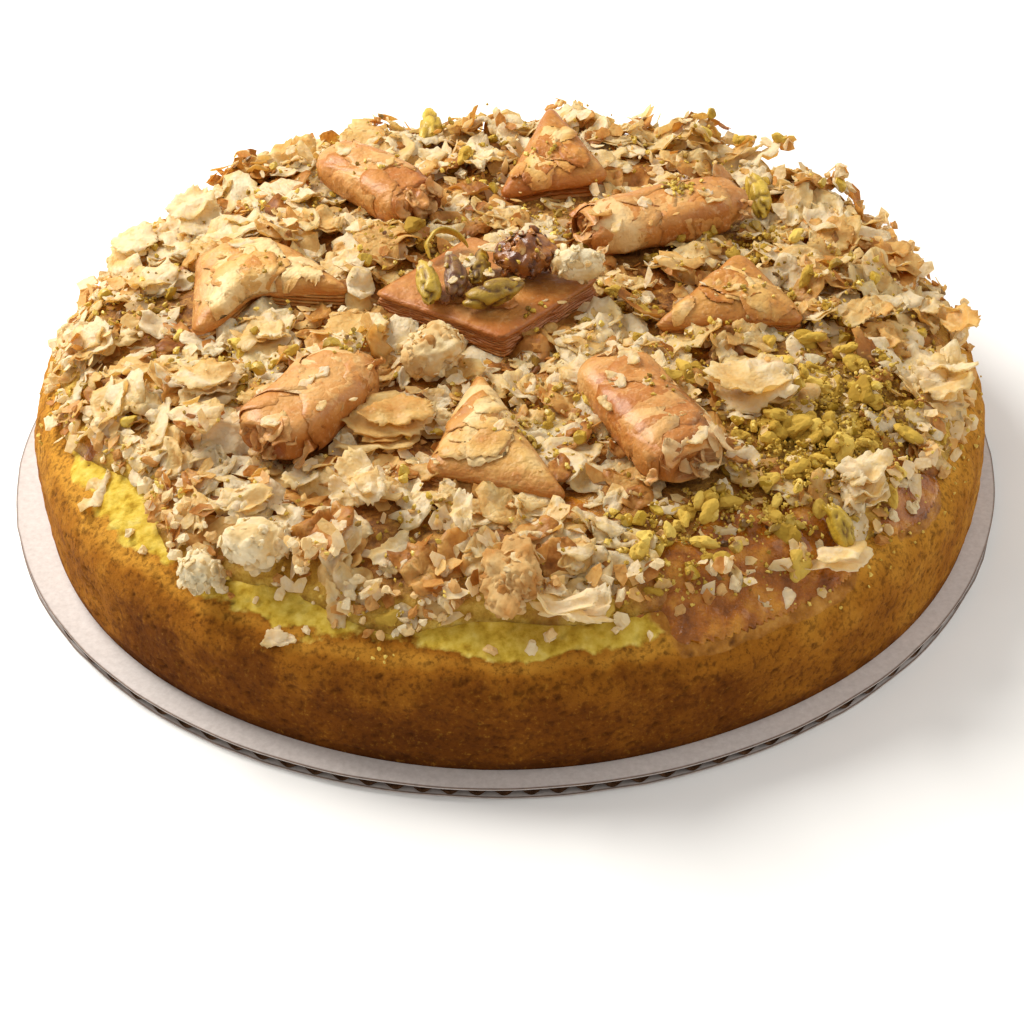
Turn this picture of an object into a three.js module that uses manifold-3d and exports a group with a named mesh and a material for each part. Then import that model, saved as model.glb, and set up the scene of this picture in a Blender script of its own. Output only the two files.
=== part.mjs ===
// Pistachio baklava cake. A round sponge lies on a corrugated card round. A heap of broken filo,
// crumbs and chopped pistachio covers its top, and whole pieces of baklava, whole pistachios and
// large shards of filo stand out of the heap.
import * as THREE from 'three';
import { mergeVertices } from 'three/addons/utils/BufferGeometryUtils.js';
import Module from 'manifold-3d';

const wasm = await Module();
wasm.setup();

// Driving dimensions in millimetres. The card's underside is z = 0, and -Y is the front
const CARD_RADIUS = 127;
const CARD_THICKNESS = 3;

const CAKE_CENTRE_X = 1.3;
const CAKE_CENTRE_Y = 0.8;
const SPONGE_RADIUS = 122;
const SPONGE_FOOT_INSET = 1.2;
const SPONGE_SIDE_TOP = 20;
const SPONGE_CROWN = 41.5;
const SPONGE_WAVE = 0.45;
const SHOULDER_POWER = 4.5;
const DOME_POWER = 2.2;

const HEAP_DEPTH = 4.4;
const HEAP_EDGE_DEPTH = 1.6;
const HEAP_RADIUS = 115.5;
const HEAP_FRONT_INSET = 4;
const HEAP_PIT = 1.9;

const DIAMOND_THICKNESS = 6.8;
const TRIANGLE_THICKNESS = 9.5;
const LAYER_GROOVE = 0.8;
const CORNER_ROUND = 2.6;
const TOP_RIPPLE = 0.35;

const KERNEL_LENGTH = 16;
const KERNEL_WIDTH = 7;
const KERNEL_HEIGHT = 6.5;

const SLICE_RADIUS = 5.6;
const SLICE_THICKNESS = 2.4;
const SLICE_ARC = 3.6;

const LUMP_KNOB = 1.05;
const FINE_LUMP_SIZE = 14;

const SHARD_THICKNESS = 1.3;
const FLAKE_THICKNESS = 1.1;
const FLAKE_COUNT = 78;
const FLAKE_LENGTH = 16;
const CRUMB_COUNT = 16;
const CRUMB_SIZE = 6.5;
const NUT_BIT_COUNT = 28;
const NUT_BIT_SIZE = 5.2;

// Clearance between touching pieces, and under the heap, whose flat facets span a rounded shoulder
const GAP = 0.4;
const HEAP_GAP = 0.6;

// A scattered piece that would cross a larger one is raised in steps, then skipped
const LIFT_STEPS = 3;
const LIFT_STEP = 1;

const SEGMENTS = 72;
const SEED = 7;
const MERGE_TOLERANCE = 1e-4;
const GOLDEN_ANGLE = Math.PI * (3 - Math.sqrt(5));
const TURN = 2 * Math.PI;
const SCATTER_TILT = 0.5;
const SLOPE_REACH = 5;
const STEEPEST_LIE = 0.45;

const { lerp, clamp, degToRad, smoothstep, euclideanModulo } = THREE.MathUtils;

// Bare bites in the heap's front edge, where the sponge shows: angle, half width and depth
const BARE_BITES = [
  { angle: 211, halfWidth: 13, depth: 9.5 },
  { angle: 239, halfWidth: 11, depth: 4 },
  { angle: 267, halfWidth: 7, depth: 3 },
  { angle: 286, halfWidth: 13, depth: 4.5 },
];

// Whole baklava pieces. A corner is x, y and the height of the top there
const SLABS = [
  {
    name: 'baklava_diamond', colour: 0xb4622c, thickness: DIAMOND_THICKNESS, dome: 0.6,
    corners: [[-32.6, 3.3, 53], [0.2, -19, 53], [25.3, 7.8, 53], [-7.5, 30.1, 53]],
  },
  {
    name: 'baklava_triangle_left', colour: 0xd9a561, thickness: TRIANGLE_THICKNESS, dome: 2.6,
    corners: [
      [-64, 31, 54.5], [-79, 26, 52.5], [-78, -8, 49], [-71, -4, 50.1],
      [-62.5, 7.5, 52.2], [-36.5, 3, 54.2], [-53, 24, 54.8],
    ],
  },
  {
    name: 'baklava_triangle_front', colour: 0xdba25c, thickness: TRIANGLE_THICKNESS, dome: 2.4,
    corners: [[-5.9, -33.5, 55], [-19.5, -68, 50], [15.3, -78.5, 49]],
  },
  {
    name: 'baklava_triangle_right', colour: 0xd69a55, thickness: TRIANGLE_THICKNESS, dome: 2.4,
    corners: [[36.4, -10.8, 51], [76.7, -9.3, 51], [61.3, 18, 55]],
  },
  {
    name: 'baklava_triangle_back', colour: 0xd89a58, thickness: TRIANGLE_THICKNESS, dome: 2,
    corners: [[14.3, 91, 58], [-1, 52, 51], [30.6, 60, 52]],
  },
];

// Rolled baklava pieces: middle, heading of the long axis, and length, width and height
const ROLLS = [
  { name: 'baklava_roll_front_left', colour: 0xc98b52, at: [-45, -43.5], heading: 57, size: [37, 20, 11.5] },
  { name: 'baklava_roll_front_right', colour: 0xc07742, at: [36, -52], heading: 115, size: [45, 19.5, 11.5] },
  { name: 'baklava_roll_back_right', colour: 0xc98f58, at: [42, 38.5], heading: 22, size: [43, 18, 11] },
  { name: 'baklava_roll_back_left', colour: 0xa9602f, at: [-32, 59], heading: 132, size: [37, 17, 10.5] },
];

// Whole pistachio kernels: middle, heading and tilt of the long axis, and size as a share of the usual.
// What lies on the diamond says so, and the rest lies on the heap
const KERNELS = [
  { name: 'pistachio_kernel_left', at: [-18.3, -0.8], onDiamond: true, heading: 100, tilt: 14, scale: 1 },
  { name: 'pistachio_kernel_middle', at: [-11.4, 1.8], onDiamond: true, heading: 94, tilt: 12, scale: 1 },
  { name: 'pistachio_kernel_back', at: [-5.2, 7.5], onDiamond: true, heading: 80, tilt: 8, scale: 0.85 },
  { name: 'pistachio_kernel_front', at: [-1.4, -6], onDiamond: true, heading: 22, tilt: 8, scale: 1.08 },
  { name: 'pistachio_slice_curved', at: [-13.5, 18.5], onDiamond: true, heading: 120, tilt: 38, curved: true },
  { name: 'pistachio_kernel_back_right', at: [69, 54], heading: 100, tilt: 20, scale: 1.05 },
  { name: 'pistachio_kernel_back_left', at: [-19, 99], heading: 85, tilt: 10, scale: 1 },
  { name: 'pistachio_kernel_front_right', at: [77, -81], heading: 120, tilt: 25, scale: 0.9 },
];

// Candied nut and large lumps of crumb: middle, and size along X, Y and Z
const LUMPS = [
  { name: 'candied_nut', colour: 0x8a4a22, at: [6.8, 9], onDiamond: true, size: [16.5, 13, 10] },
  { name: 'crumb_chunk_diamond', colour: 0xf2e3bd, at: [19, 5], onDiamond: true, size: [13, 11, 9.5] },
  { name: 'crumb_ball_centre', colour: 0xe9c795, at: [-17, -23], size: [16.5, 15, 12] },
  { name: 'crumb_roll_front', colour: 0xc98a55, at: [1, -104], size: [14, 24, 9] },
  { name: 'crumb_chunk_left', colour: 0xefdcae, at: [-57, -87.5], size: [18, 14, 9] },
  { name: 'crumb_chunk_rim_left', colour: 0xf1dfb4, at: [-70, -89.5], size: [11, 9, 7] },
];

// Large shards, folds and crumpled roses of filo: middle, length and width, heading of the length,
// tilt of its end, curl, and number of leaves
const SHARDS = [
  { name: 'rose_right', at: [107, -26], size: [26, 21], heading: 80, tilt: 12, curl: 2.6, leaves: 3 },
  { name: 'stack_right', at: [83.5, -67.5], size: [21, 16], heading: 60, tilt: 10, curl: 1.6, leaves: 2 },
  { name: 'curl_right', at: [112, 3], size: [25, 14], heading: 85, tilt: 8, curl: 3.4, leaves: 2 },
  { name: 'rose_back_right', at: [93, -5], size: [19, 16], heading: 70, tilt: 12, curl: 2.2, leaves: 2 },
  { name: 'sheet_right', at: [59.5, -34], size: [30, 25], heading: 160, tilt: 8, curl: 2.4, leaves: 2 },
  { name: 'fold_centre', at: [-38, -9], size: [24, 17], heading: 10, tilt: 12, curl: 2.4, leaves: 2 },
  { name: 'flake_left', at: [-59, -9], size: [22, 15], heading: 75, tilt: 14, curl: 1.8, leaves: 1 },
  { name: 'sheet_front_left', at: [-27.5, -49], size: [27, 19], heading: 30, tilt: 14, curl: 2.4, leaves: 2 },
  { name: 'shard_back_left', at: [-82, 54], size: [25, 16], heading: 60, tilt: 14, curl: 2.4, leaves: 2 },
  { name: 'shard_rim_left', at: [-98, 42], size: [23, 15], heading: 75, tilt: 12, curl: 2.4, leaves: 2 },
  { name: 'rose_front', at: [13, -106], size: [21, 17], heading: 15, tilt: 12, curl: 2.2, leaves: 2 },
  { name: 'shard_front', at: [-8, -89], size: [21, 13], heading: 95, tilt: 18, curl: 2, leaves: 1 },
  { name: 'tuft_front_left', at: [-33, -74], size: [23, 17], heading: 70, tilt: 18, curl: 2.4, leaves: 2 },
  { name: 'shard_middle_left', at: [-41, 22], size: [20, 13], heading: 80, tilt: 20, curl: 2, leaves: 1 },
  { name: 'flake_middle', at: [30, -22.5], size: [20, 15], heading: 20, tilt: 12, curl: 2, leaves: 1 },
  { name: 'shard_rim_right', at: [76, -87], size: [21, 10], heading: 35, tilt: 12, curl: 1.8, leaves: 1 },
  { name: 'heap_back_left', at: [-61, 88], size: [26, 20], heading: 20, tilt: 12, curl: 2.6, leaves: 2 },
  { name: 'shard_left', at: [-71, -30], size: [24, 19], heading: 40, tilt: 14, curl: 2.4, leaves: 2 },
];

const DIAMOND_TOP = SLABS[0].corners[0][2] + SLABS[0].dome + TOP_RIPPLE;

const COLOURS = {
  card: 0xdcd3d0,
  sponge: 0xb87a2e,
  heap: 0xd8b877,
  shard: 0xecd7a4,
  kernel: 0x9a9130,
};

const random = () => THREE.MathUtils.seededRandom();
const between = (low, high) => lerp(low, high, random());

// Smooth bumps that depend only on the place, from -1 to 1
function bumps(x, y, z, wavelength) {
  const k = TURN / wavelength;
  const first = Math.sin(k * (x + 0.6 * y)) * Math.cos(k * (y - 0.4 * z));
  const second = Math.sin(k * 0.73 * (z + 0.5 * x) + 1.7) * Math.cos(k * 0.61 * (y + x));
  return 0.6 * first + 0.4 * second;
}

function food(colour, roughness) {
  return new THREE.MeshStandardMaterial({ color: colour, roughness, metalness: 0, flatShading: true });
}

// Closed skin from a bottom point, through rings of equal count, to a top point
function loft(bottom, rings, top) {
  const count = rings[0].length;
  const points = [bottom, ...rings.flat(), top];
  const last = points.length - 1;
  const faces = [];
  for (let j = 0; j < count; j += 1) {
    const next = (j + 1) % count;
    faces.push(0, 1 + next, 1 + j);
    faces.push(last, last - count + j, last - count + next);
    for (let ring = 0; ring < rings.length - 1; ring += 1) {
      const low = 1 + ring * count;
      const high = low + count;
      faces.push(low + j, low + next, high + next);
      faces.push(low + j, high + next, high + j);
    }
  }
  const geometry = new THREE.BufferGeometry().setFromPoints(points);
  geometry.setIndex(faces);
  geometry.computeVertexNormals();
  return geometry;
}

function ringOf(count, pointAt) {
  return Array.from({ length: count }, (unused, j) => pointAt((TURN * j) / count, j));
}

// Sponge side, rounded shoulder and domed top, as radius share and height from the foot upwards
const SPONGE_TOP_ANGLES = [0, 12, 22, 31, 40, 50, 65];

function spongeProfile() {
  const side = [CARD_THICKNESS + GAP, lerp(CARD_THICKNESS, SPONGE_SIDE_TOP, 0.45)];
  const rows = side.map((z, row) => ({ share: 1 - (row === 0 ? SPONGE_FOOT_INSET / SPONGE_RADIUS : 0), z }));
  for (const angle of SPONGE_TOP_ANGLES) {
    const t = degToRad(angle);
    const rise = Math.sin(t) ** (2 / DOME_POWER);
    rows.push({ share: Math.cos(t) ** (2 / SHOULDER_POWER), z: lerp(SPONGE_SIDE_TOP, SPONGE_CROWN, rise) });
  }
  return rows;
}

function spongeRadius(angle) {
  return SPONGE_RADIUS + SPONGE_WAVE * (Math.sin(3 * angle + 0.7) + 0.7 * Math.sin(7 * angle));
}

const SPONGE_ROWS = spongeProfile();
const SPONGE_TOP_ROWS = SPONGE_ROWS.slice(SPONGE_ROWS.length - SPONGE_TOP_ANGLES.length);

// Height of the sponge's top along its facets, for a share of the radius
function spongeTop(share) {
  const rows = [...SPONGE_TOP_ROWS, { share: 0, z: SPONGE_CROWN }];
  const outer = Math.max(0, rows.findLastIndex((row) => row.share >= share));
  const inner = Math.min(outer + 1, rows.length - 1);
  const span = rows[outer].share - rows[inner].share;
  const along = span > 0 ? clamp((rows[outer].share - share) / span, 0, 1) : 0;
  return lerp(rows[outer].z, rows[inner].z, along);
}

function spongeGeometry() {
  const rings = SPONGE_ROWS.map(({ share, z }) => ringOf(SEGMENTS, (angle) => {
    const radius = spongeRadius(angle) * share;
    return new THREE.Vector3(radius * Math.cos(angle), radius * Math.sin(angle), z);
  }));
  return loft(new THREE.Vector3(0, 0, CARD_THICKNESS + GAP), rings, new THREE.Vector3(0, 0, SPONGE_CROWN));
}

function cardGeometry() {
  const disc = new THREE.CylinderGeometry(CARD_RADIUS, CARD_RADIUS, CARD_THICKNESS, SEGMENTS);
  return bareGeometry(disc.rotateX(Math.PI / 2));
}

// Outline of the heap round the cake's middle, drawn in at the front and at the bare bites
function heapRadius(angle) {
  const front = Math.max(0, -Math.sin(angle)) ** 2 * HEAP_FRONT_INSET;
  const ragged = 0.9 * Math.sin(5 * angle + 1) + 0.8 * Math.sin(13 * angle);
  let radius = HEAP_RADIUS - front + ragged;
  for (const bite of BARE_BITES) {
    const away = Math.abs(euclideanModulo(angle - degToRad(bite.angle) + Math.PI, TURN) - Math.PI);
    radius -= bite.depth * (1 - smoothstep(away, 0, degToRad(bite.halfWidth) * 1.6));
  }
  return radius;
}

// Height of the bare heap's peaks at a place in the part's frame, before any flake lies on it
function heapTop(x, y) {
  const dx = x - CAKE_CENTRE_X;
  const dy = y - CAKE_CENTRE_Y;
  const angle = Math.atan2(dy, dx);
  const radius = Math.hypot(dx, dy);
  const inward = clamp(1 - radius / heapRadius(angle), 0, 1);
  const depth = lerp(HEAP_EDGE_DEPTH, HEAP_DEPTH, smoothstep(inward, 0, 0.09));
  return spongeTop(radius / spongeRadius(angle)) + HEAP_GAP + depth;
}

const HEAP_TOP_SHARES = [1, 0.95, 0.88, 0.78, 0.65, 0.48, 0.26];

function heapCoreGeometry() {
  const under = SPONGE_TOP_ROWS.slice(2).reverse();
  const rings = under.map((row, k) => ringOf(SEGMENTS, (angle) => {
    const spare = (under.length - k) * 0.5;
    const radius = Math.min(row.share * spongeRadius(angle), heapRadius(angle) - spare);
    const z = spongeTop(radius / spongeRadius(angle)) + HEAP_GAP;
    return new THREE.Vector3(radius * Math.cos(angle), radius * Math.sin(angle), z);
  }));
  rings.push(ringOf(SEGMENTS, (angle) => {
    const radius = heapRadius(angle);
    const z = spongeTop(radius / spongeRadius(angle)) + HEAP_GAP;
    return new THREE.Vector3(radius * Math.cos(angle), radius * Math.sin(angle), z);
  }));
  for (const share of HEAP_TOP_SHARES) {
    rings.push(ringOf(SEGMENTS, (angle) => {
      const radius = heapRadius(angle) * share;
      const x = radius * Math.cos(angle);
      const y = radius * Math.sin(angle);
      const pit = share === 1 ? 0 : between(0, HEAP_PIT);
      return new THREE.Vector3(x, y, heapTop(x + CAKE_CENTRE_X, y + CAKE_CENTRE_Y) - pit);
    }));
  }
  const bottom = new THREE.Vector3(0, 0, SPONGE_CROWN + HEAP_GAP);
  const top = new THREE.Vector3(0, 0, heapTop(CAKE_CENTRE_X, CAKE_CENTRE_Y));
  return loft(bottom, rings, top);
}

// Points round a polygon whose corners are rounded by short curves
function roundedOutline(corners) {
  const points = [];
  corners.forEach((corner, i) => {
    const here = new THREE.Vector2(corner[0], corner[1]);
    const before = new THREE.Vector2(...corners.at(i - 1));
    const after = new THREE.Vector2(...corners[(i + 1) % corners.length]);
    const enter = here.clone().lerp(before, CORNER_ROUND / here.distanceTo(before));
    const leave = here.clone().lerp(after, CORNER_ROUND / here.distanceTo(after));
    points.push(...new THREE.QuadraticBezierCurve(enter, here, leave).getPoints(2));
    const nextEnter = after.clone().lerp(here, CORNER_ROUND / after.distanceTo(here));
    points.push(leave.clone().lerp(nextEnter, 1 / 3), leave.clone().lerp(nextEnter, 2 / 3));
  });
  return points;
}

const SLAB_TOP_RINGS = [0.8, 0.45];
const SLAB_LEVELS = 6;

// Slab of layered pastry: grooved sides, a slightly domed top and a foot seated on the heap
function slabGeometry({ corners, thickness, dome }, middle) {
  const outline = roundedOutline(corners);
  const firstThree = corners.slice(0, 3).map((corner) => new THREE.Vector3(...corner));
  const plane = new THREE.Plane().setFromCoplanarPoints(...firstThree);
  const topAt = (x, y) => -(plane.constant + plane.normal.x * x + plane.normal.y * y) / plane.normal.z;
  const footAt = (x, y) => Math.max(topAt(x, y) - thickness, heapTop(x, y) + GAP);
  const at = (point, share, height) => {
    const x = lerp(middle.x, point.x, share);
    const y = lerp(middle.y, point.y, share);
    return new THREE.Vector3(x, y, height(x, y)).sub(middle);
  };
  const reach = outline.reduce((sum, point) => sum + Math.hypot(point.x - middle.x, point.y - middle.y), 0);
  const groove = (LAYER_GROOVE * outline.length) / reach;
  const rings = [];
  for (let level = 0; level <= SLAB_LEVELS; level += 1) {
    const share = 1 - (level % 2 === 0 ? groove : 0);
    const height = (x, y) => lerp(footAt(x, y), topAt(x, y), level / SLAB_LEVELS);
    rings.push(outline.map((point) => at(point, share, height)));
  }
  for (const share of SLAB_TOP_RINGS) {
    const height = (x, y) => topAt(x, y) + dome * (1 - share ** 2) + TOP_RIPPLE * bumps(x, y, 0, 13);
    rings.push(outline.map((point) => at(point, share, height)));
  }
  const centre = new THREE.Vector2(middle.x, middle.y);
  return loft(at(centre, 0, footAt), rings, at(centre, 0, (x, y) => topAt(x, y) + dome));
}

const ROLL_SIDES = 14;
const ROLL_RINGS = [
  { along: -0.5, swell: 0.82 },
  { along: -0.46, swell: 0.97 },
  { along: -0.22, swell: 1.02 },
  { along: 0.04, swell: 0.97 },
  { along: 0.28, swell: 1.03 },
  { along: 0.46, swell: 0.96 },
  { along: 0.5, swell: 0.8 },
];
const ROLL_LAP = 0.13;
const FOOT_POWER = 0.45;
const ROLL_END_HOLLOW = 2;

// Roll of pastry along X, with the step of its outer lap along one side, a flat foot and hollow ends
function rollGeometry([length, width, height]) {
  const rings = ROLL_RINGS.map(({ along, swell }, k) => ringOf(ROLL_SIDES, (angle, j) => {
    const lap = 1 - (ROLL_LAP * j) / ROLL_SIDES;
    const ragged = 1 + 0.03 * Math.sin(5 * angle + 2 * k);
    const radius = 0.5 * swell * lap * ragged;
    const rise = Math.sin(angle) < 0 ? -(Math.abs(Math.sin(angle)) ** FOOT_POWER) : Math.sin(angle);
    return new THREE.Vector3(width * radius * Math.cos(angle), height * radius * rise, along * length);
  }));
  const end = length / 2 - ROLL_END_HOLLOW;
  const geometry = loft(new THREE.Vector3(0, 0, -end), rings, new THREE.Vector3(0, 0, end));
  return geometry.rotateX(Math.PI / 2).rotateZ(Math.PI / 2);
}

const KERNEL_SIDES = 9;
const KERNEL_RINGS = 5;

// Pistachio kernel along X: blunt at one end, pointed at the other, with a groove and a slight bend
function kernelGeometry(scale) {
  const rings = [];
  for (let k = 0; k < KERNEL_RINGS; k += 1) {
    const along = (k + 0.6) / (KERNEL_RINGS + 0.2);
    const swell = 0.5 * Math.sin(Math.PI * along ** 0.85) ** 0.62;
    const bend = 1.1 * (along - 0.5) ** 2 * 4;
    rings.push(ringOf(KERNEL_SIDES, (angle) => {
      const groove = 1 - 0.14 * Math.max(0, Math.cos(angle)) ** 6;
      const y = KERNEL_WIDTH * swell * groove * Math.cos(angle) + bend;
      const z = KERNEL_HEIGHT * swell * Math.sin(angle);
      return new THREE.Vector3(y, z, (along - 0.5) * KERNEL_LENGTH);
    }));
  }
  const tip = new THREE.Vector3(1.1, 0, KERNEL_LENGTH / 2);
  const geometry = loft(new THREE.Vector3(1.1, 0, -KERNEL_LENGTH / 2), rings, tip);
  return geometry.rotateX(Math.PI / 2).rotateZ(Math.PI / 2).scale(scale, scale, scale);
}

const SLICE_RINGS = 9;
const SLICE_SIDES = 6;

// Thin crescent of pistachio, bent round in the XY plane with its back towards +X
function sliceGeometry() {
  const place = (angle, reach, z) => new THREE.Vector3(reach * Math.cos(angle), reach * Math.sin(angle), z);
  const rings = [];
  for (let k = 0; k < SLICE_RINGS; k += 1) {
    const along = (k + 0.5) / SLICE_RINGS;
    const angle = (along - 0.5) * SLICE_ARC;
    const swell = 0.5 * SLICE_THICKNESS * Math.sin(Math.PI * along) ** 0.5;
    rings.push(ringOf(SLICE_SIDES, (turn) => (
      place(angle, SLICE_RADIUS + 0.7 * swell * Math.sin(turn), 1.5 * swell * Math.cos(turn))
    )));
  }
  const tip = SLICE_ARC / 2;
  return loft(place(-tip, SLICE_RADIUS, 0), rings, place(tip, SLICE_RADIUS, 0));
}

// Knobbly ball of crumbs or candied nut
function lumpGeometry(size, knobs, detail) {
  const ball = new THREE.IcosahedronGeometry(0.5, detail);
  const place = ball.attributes.position;
  const point = new THREE.Vector3();
  const phase = 50 * random();
  for (let i = 0; i < place.count; i += 1) {
    point.fromBufferAttribute(place, i);
    const rise = bumps(point.x * size[0] + phase, point.y * size[1], point.z * size[2], 0.45 * size[0]);
    point.multiplyScalar(1 + (2 * knobs * rise) / size[0]);
    place.setXYZ(i, point.x * size[0], point.y * size[1], point.z * size[2]);
  }
  return bareGeometry(ball);
}

// Ragged leaf of filo in the XY plane, curled across its length; both faces are split alike
function leafGeometry({ length, width, thickness, curl, sides, inner }) {
  const reach = Array.from({ length: sides }, () => between(0.8, 1.12));
  const twist = between(-0.25, 0.25) * curl;
  const ripple = between(0, TURN);
  const lift = (x, y) => {
    const u = (2 * x) / length;
    const v = (2 * y) / width;
    return curl * (u * u - 0.35) + twist * u * v + 0.22 * curl * Math.sin(2.6 * u + 3.1 * v + ripple);
  };
  const rim = (share, side) => ringOf(sides, (angle, j) => {
    const x = 0.5 * length * share * reach[j] * Math.cos(angle);
    const y = 0.5 * width * share * reach[j] * Math.sin(angle);
    const thin = share === 1 ? 0.35 : 0.5;
    return new THREE.Vector3(x, y, lift(x, y) + side * thickness * thin);
  });
  const shares = inner ? [0.55, 1] : [1];
  const under = shares.map((share) => rim(share, -1));
  const upper = shares.toReversed().map((share) => rim(share, 1));
  const bottom = new THREE.Vector3(0, 0, lift(0, 0) - thickness / 2);
  const top = new THREE.Vector3(0, 0, lift(0, 0) + thickness / 2);
  return loft(bottom, [...under, ...upper], top);
}

// Geometry with nothing but merged positions, as a solid needs it
function bareGeometry(geometry) {
  const bare = geometry.clone();
  bare.deleteAttribute('normal');
  bare.deleteAttribute('uv');
  const merged = mergeVertices(bare, MERGE_TOLERANCE);
  merged.computeVertexNormals();
  return merged;
}

function solidOf(geometry) {
  const merged = bareGeometry(geometry);
  return new wasm.Manifold(new wasm.Mesh({
    numProp: 3,
    vertProperties: new Float32Array(merged.attributes.position.array),
    triVerts: new Uint32Array(merged.index.array),
  }));
}

function geometryOf(solid) {
  const mesh = solid.getMesh();
  const geometry = new THREE.BufferGeometry();
  geometry.setAttribute('position', new THREE.BufferAttribute(new Float32Array(mesh.vertProperties), 3));
  geometry.setIndex(new THREE.BufferAttribute(new Uint32Array(mesh.triVerts), 1));
  geometry.computeVertexNormals();
  return geometry;
}

function largestPart(solid) {
  return solid.decompose().reduce((best, part) => (part.volume() > best.volume() ? part : best));
}

function placedGeometry(mesh) {
  mesh.updateMatrixWorld(true);
  return mesh.geometry.clone().applyMatrix4(mesh.matrixWorld);
}

// The solid of a placed mesh, grown by the gap along its normals
function swollenSolid(mesh) {
  const geometry = bareGeometry(placedGeometry(mesh));
  const place = geometry.attributes.position;
  const normal = geometry.attributes.normal;
  for (let i = 0; i < place.count; i += 1) {
    place.setXYZ(
      i,
      place.getX(i) + GAP * normal.getX(i),
      place.getY(i) + GAP * normal.getY(i),
      place.getZ(i) + GAP * normal.getZ(i),
    );
  }
  return solidOf(geometry);
}

// Cuts a placed mesh back so that it clears each of the swollen solids
function clearOf(mesh, swollen) {
  const whole = solidOf(placedGeometry(mesh));
  const touching = swollen.filter((other) => !whole.intersect(other).isEmpty());
  if (touching.length > 0) {
    const cut = touching.reduce((solid, other) => solid.subtract(other), whole);
    mesh.geometry = geometryOf(largestPart(cut)).applyMatrix4(mesh.matrixWorld.clone().invert());
  }
}

// Sets a placed mesh down until its lowest point clears the surface under it by the gap
function settle(mesh, surface) {
  const place = placedGeometry(mesh).attributes.position;
  let clearance = Infinity;
  for (let i = 0; i < place.count; i += 1) {
    clearance = Math.min(clearance, place.getZ(i) - surface(place.getX(i), place.getY(i)));
  }
  mesh.position.z += GAP - clearance;
  return mesh;
}

function namedMesh(name, geometry, material) {
  const mesh = new THREE.Mesh(geometry, material);
  mesh.name = name;
  return mesh;
}

// Turn that lays the Z axis square to the heap's slope at a place
function slopeTurn(x, y) {
  const across = (heapTop(x + SLOPE_REACH, y) - heapTop(x - SLOPE_REACH, y)) / (2 * SLOPE_REACH);
  const along = (heapTop(x, y + SLOPE_REACH) - heapTop(x, y - SLOPE_REACH)) / (2 * SLOPE_REACH);
  const fall = Math.max(1, Math.hypot(across, along) / STEEPEST_LIE);
  const normal = new THREE.Vector3(-across / fall, -along / fall, 1).normalize();
  return new THREE.Quaternion().setFromUnitVectors(new THREE.Vector3(0, 0, 1), normal);
}

// Lays a mesh on the heap or on the diamond, turned to its heading with its +X end raised by its tilt
function laidMesh(mesh, { at: [x, y], heading = 0, tilt = 0, onDiamond = false }) {
  mesh.position.set(x, y, 0);
  mesh.rotation.order = 'ZYX';
  mesh.rotation.set(0, degToRad(-tilt), degToRad(heading));
  if (!onDiamond) {
    mesh.quaternion.premultiply(slopeTurn(x, y));
  }
  return settle(mesh, onDiamond ? () => DIAMOND_TOP : heapTop);
}

function slabMesh(slab) {
  const middle = slab.corners
    .reduce((sum, corner) => sum.add(new THREE.Vector3(...corner)), new THREE.Vector3())
    .divideScalar(slab.corners.length);
  const mesh = namedMesh(slab.name, slabGeometry(slab, middle), food(slab.colour, 0.5));
  mesh.position.copy(middle);
  return mesh;
}

// One to three crumpled leaves fused into a shard, a folded sheet or a rose
function shardGeometry({ size: [length, width], curl, leaves }) {
  let solid = null;
  for (let k = 0; k < leaves; k += 1) {
    const shrink = 1 - 0.16 * k;
    const leaf = leafGeometry({
      length: length * shrink,
      width: width * shrink,
      thickness: SHARD_THICKNESS,
      curl,
      sides: 8,
      inner: k === 0,
    });
    leaf.rotateX(degToRad(k * between(-34, 34))).rotateZ(k * between(0.5, 1.4));
    leaf.translate(between(-1, 1) * k, between(-1, 1) * k, 0.9 * k);
    solid = solid ? solid.add(solidOf(leaf)) : solidOf(leaf);
  }
  return geometryOf(largestPart(solid));
}

// Even scatter over the heap: a place for each of the count, by the golden angle, with some jitter
function scatter(count, turn, innerShare) {
  return Array.from({ length: count }, (unused, i) => {
    const share = Math.sqrt(lerp(innerShare ** 2, 1, (i + 0.5) / count));
    const angle = turn + i * GOLDEN_ANGLE + between(-0.04, 0.04);
    const radius = share * (heapRadius(angle) - 2.5);
    return [CAKE_CENTRE_X + radius * Math.cos(angle), CAKE_CENTRE_Y + radius * Math.sin(angle)];
  });
}

function restOnHeap(geometry, [x, y], lift) {
  geometry.rotateX(between(-SCATTER_TILT, SCATTER_TILT)).rotateY(between(-SCATTER_TILT, SCATTER_TILT));
  geometry.rotateZ(between(0, TURN));
  return geometry.translate(x, y, heapTop(x, y) + lift);
}

function scatteredPieces() {
  const flakes = scatter(FLAKE_COUNT, 0, 0.06).map((spot) => {
    const length = FLAKE_LENGTH * between(0.65, 1.25);
    const leaf = leafGeometry({
      length,
      width: length * between(0.6, 0.95),
      thickness: FLAKE_THICKNESS,
      curl: between(0.8, 2.2),
      sides: 6,
    });
    return restOnHeap(leaf, spot, between(-0.2, 1.1));
  });
  const crumbs = scatter(CRUMB_COUNT, 1, 0.1).map((spot) => {
    const size = CRUMB_SIZE * between(0.8, 1.2);
    return restOnHeap(lumpGeometry([size, size * between(0.7, 1), size * 0.75], 0.5, 0), spot, 0.4);
  });
  const nuts = scatter(NUT_BIT_COUNT, 2, 0.2).map((spot) => {
    const size = NUT_BIT_SIZE * between(0.7, 1.25);
    return restOnHeap(lumpGeometry([size, size * between(0.55, 0.85), size * 0.65], 0.3, 0), spot, 0.2);
  });
  return [...flakes, ...crumbs, ...nuts];
}

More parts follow.
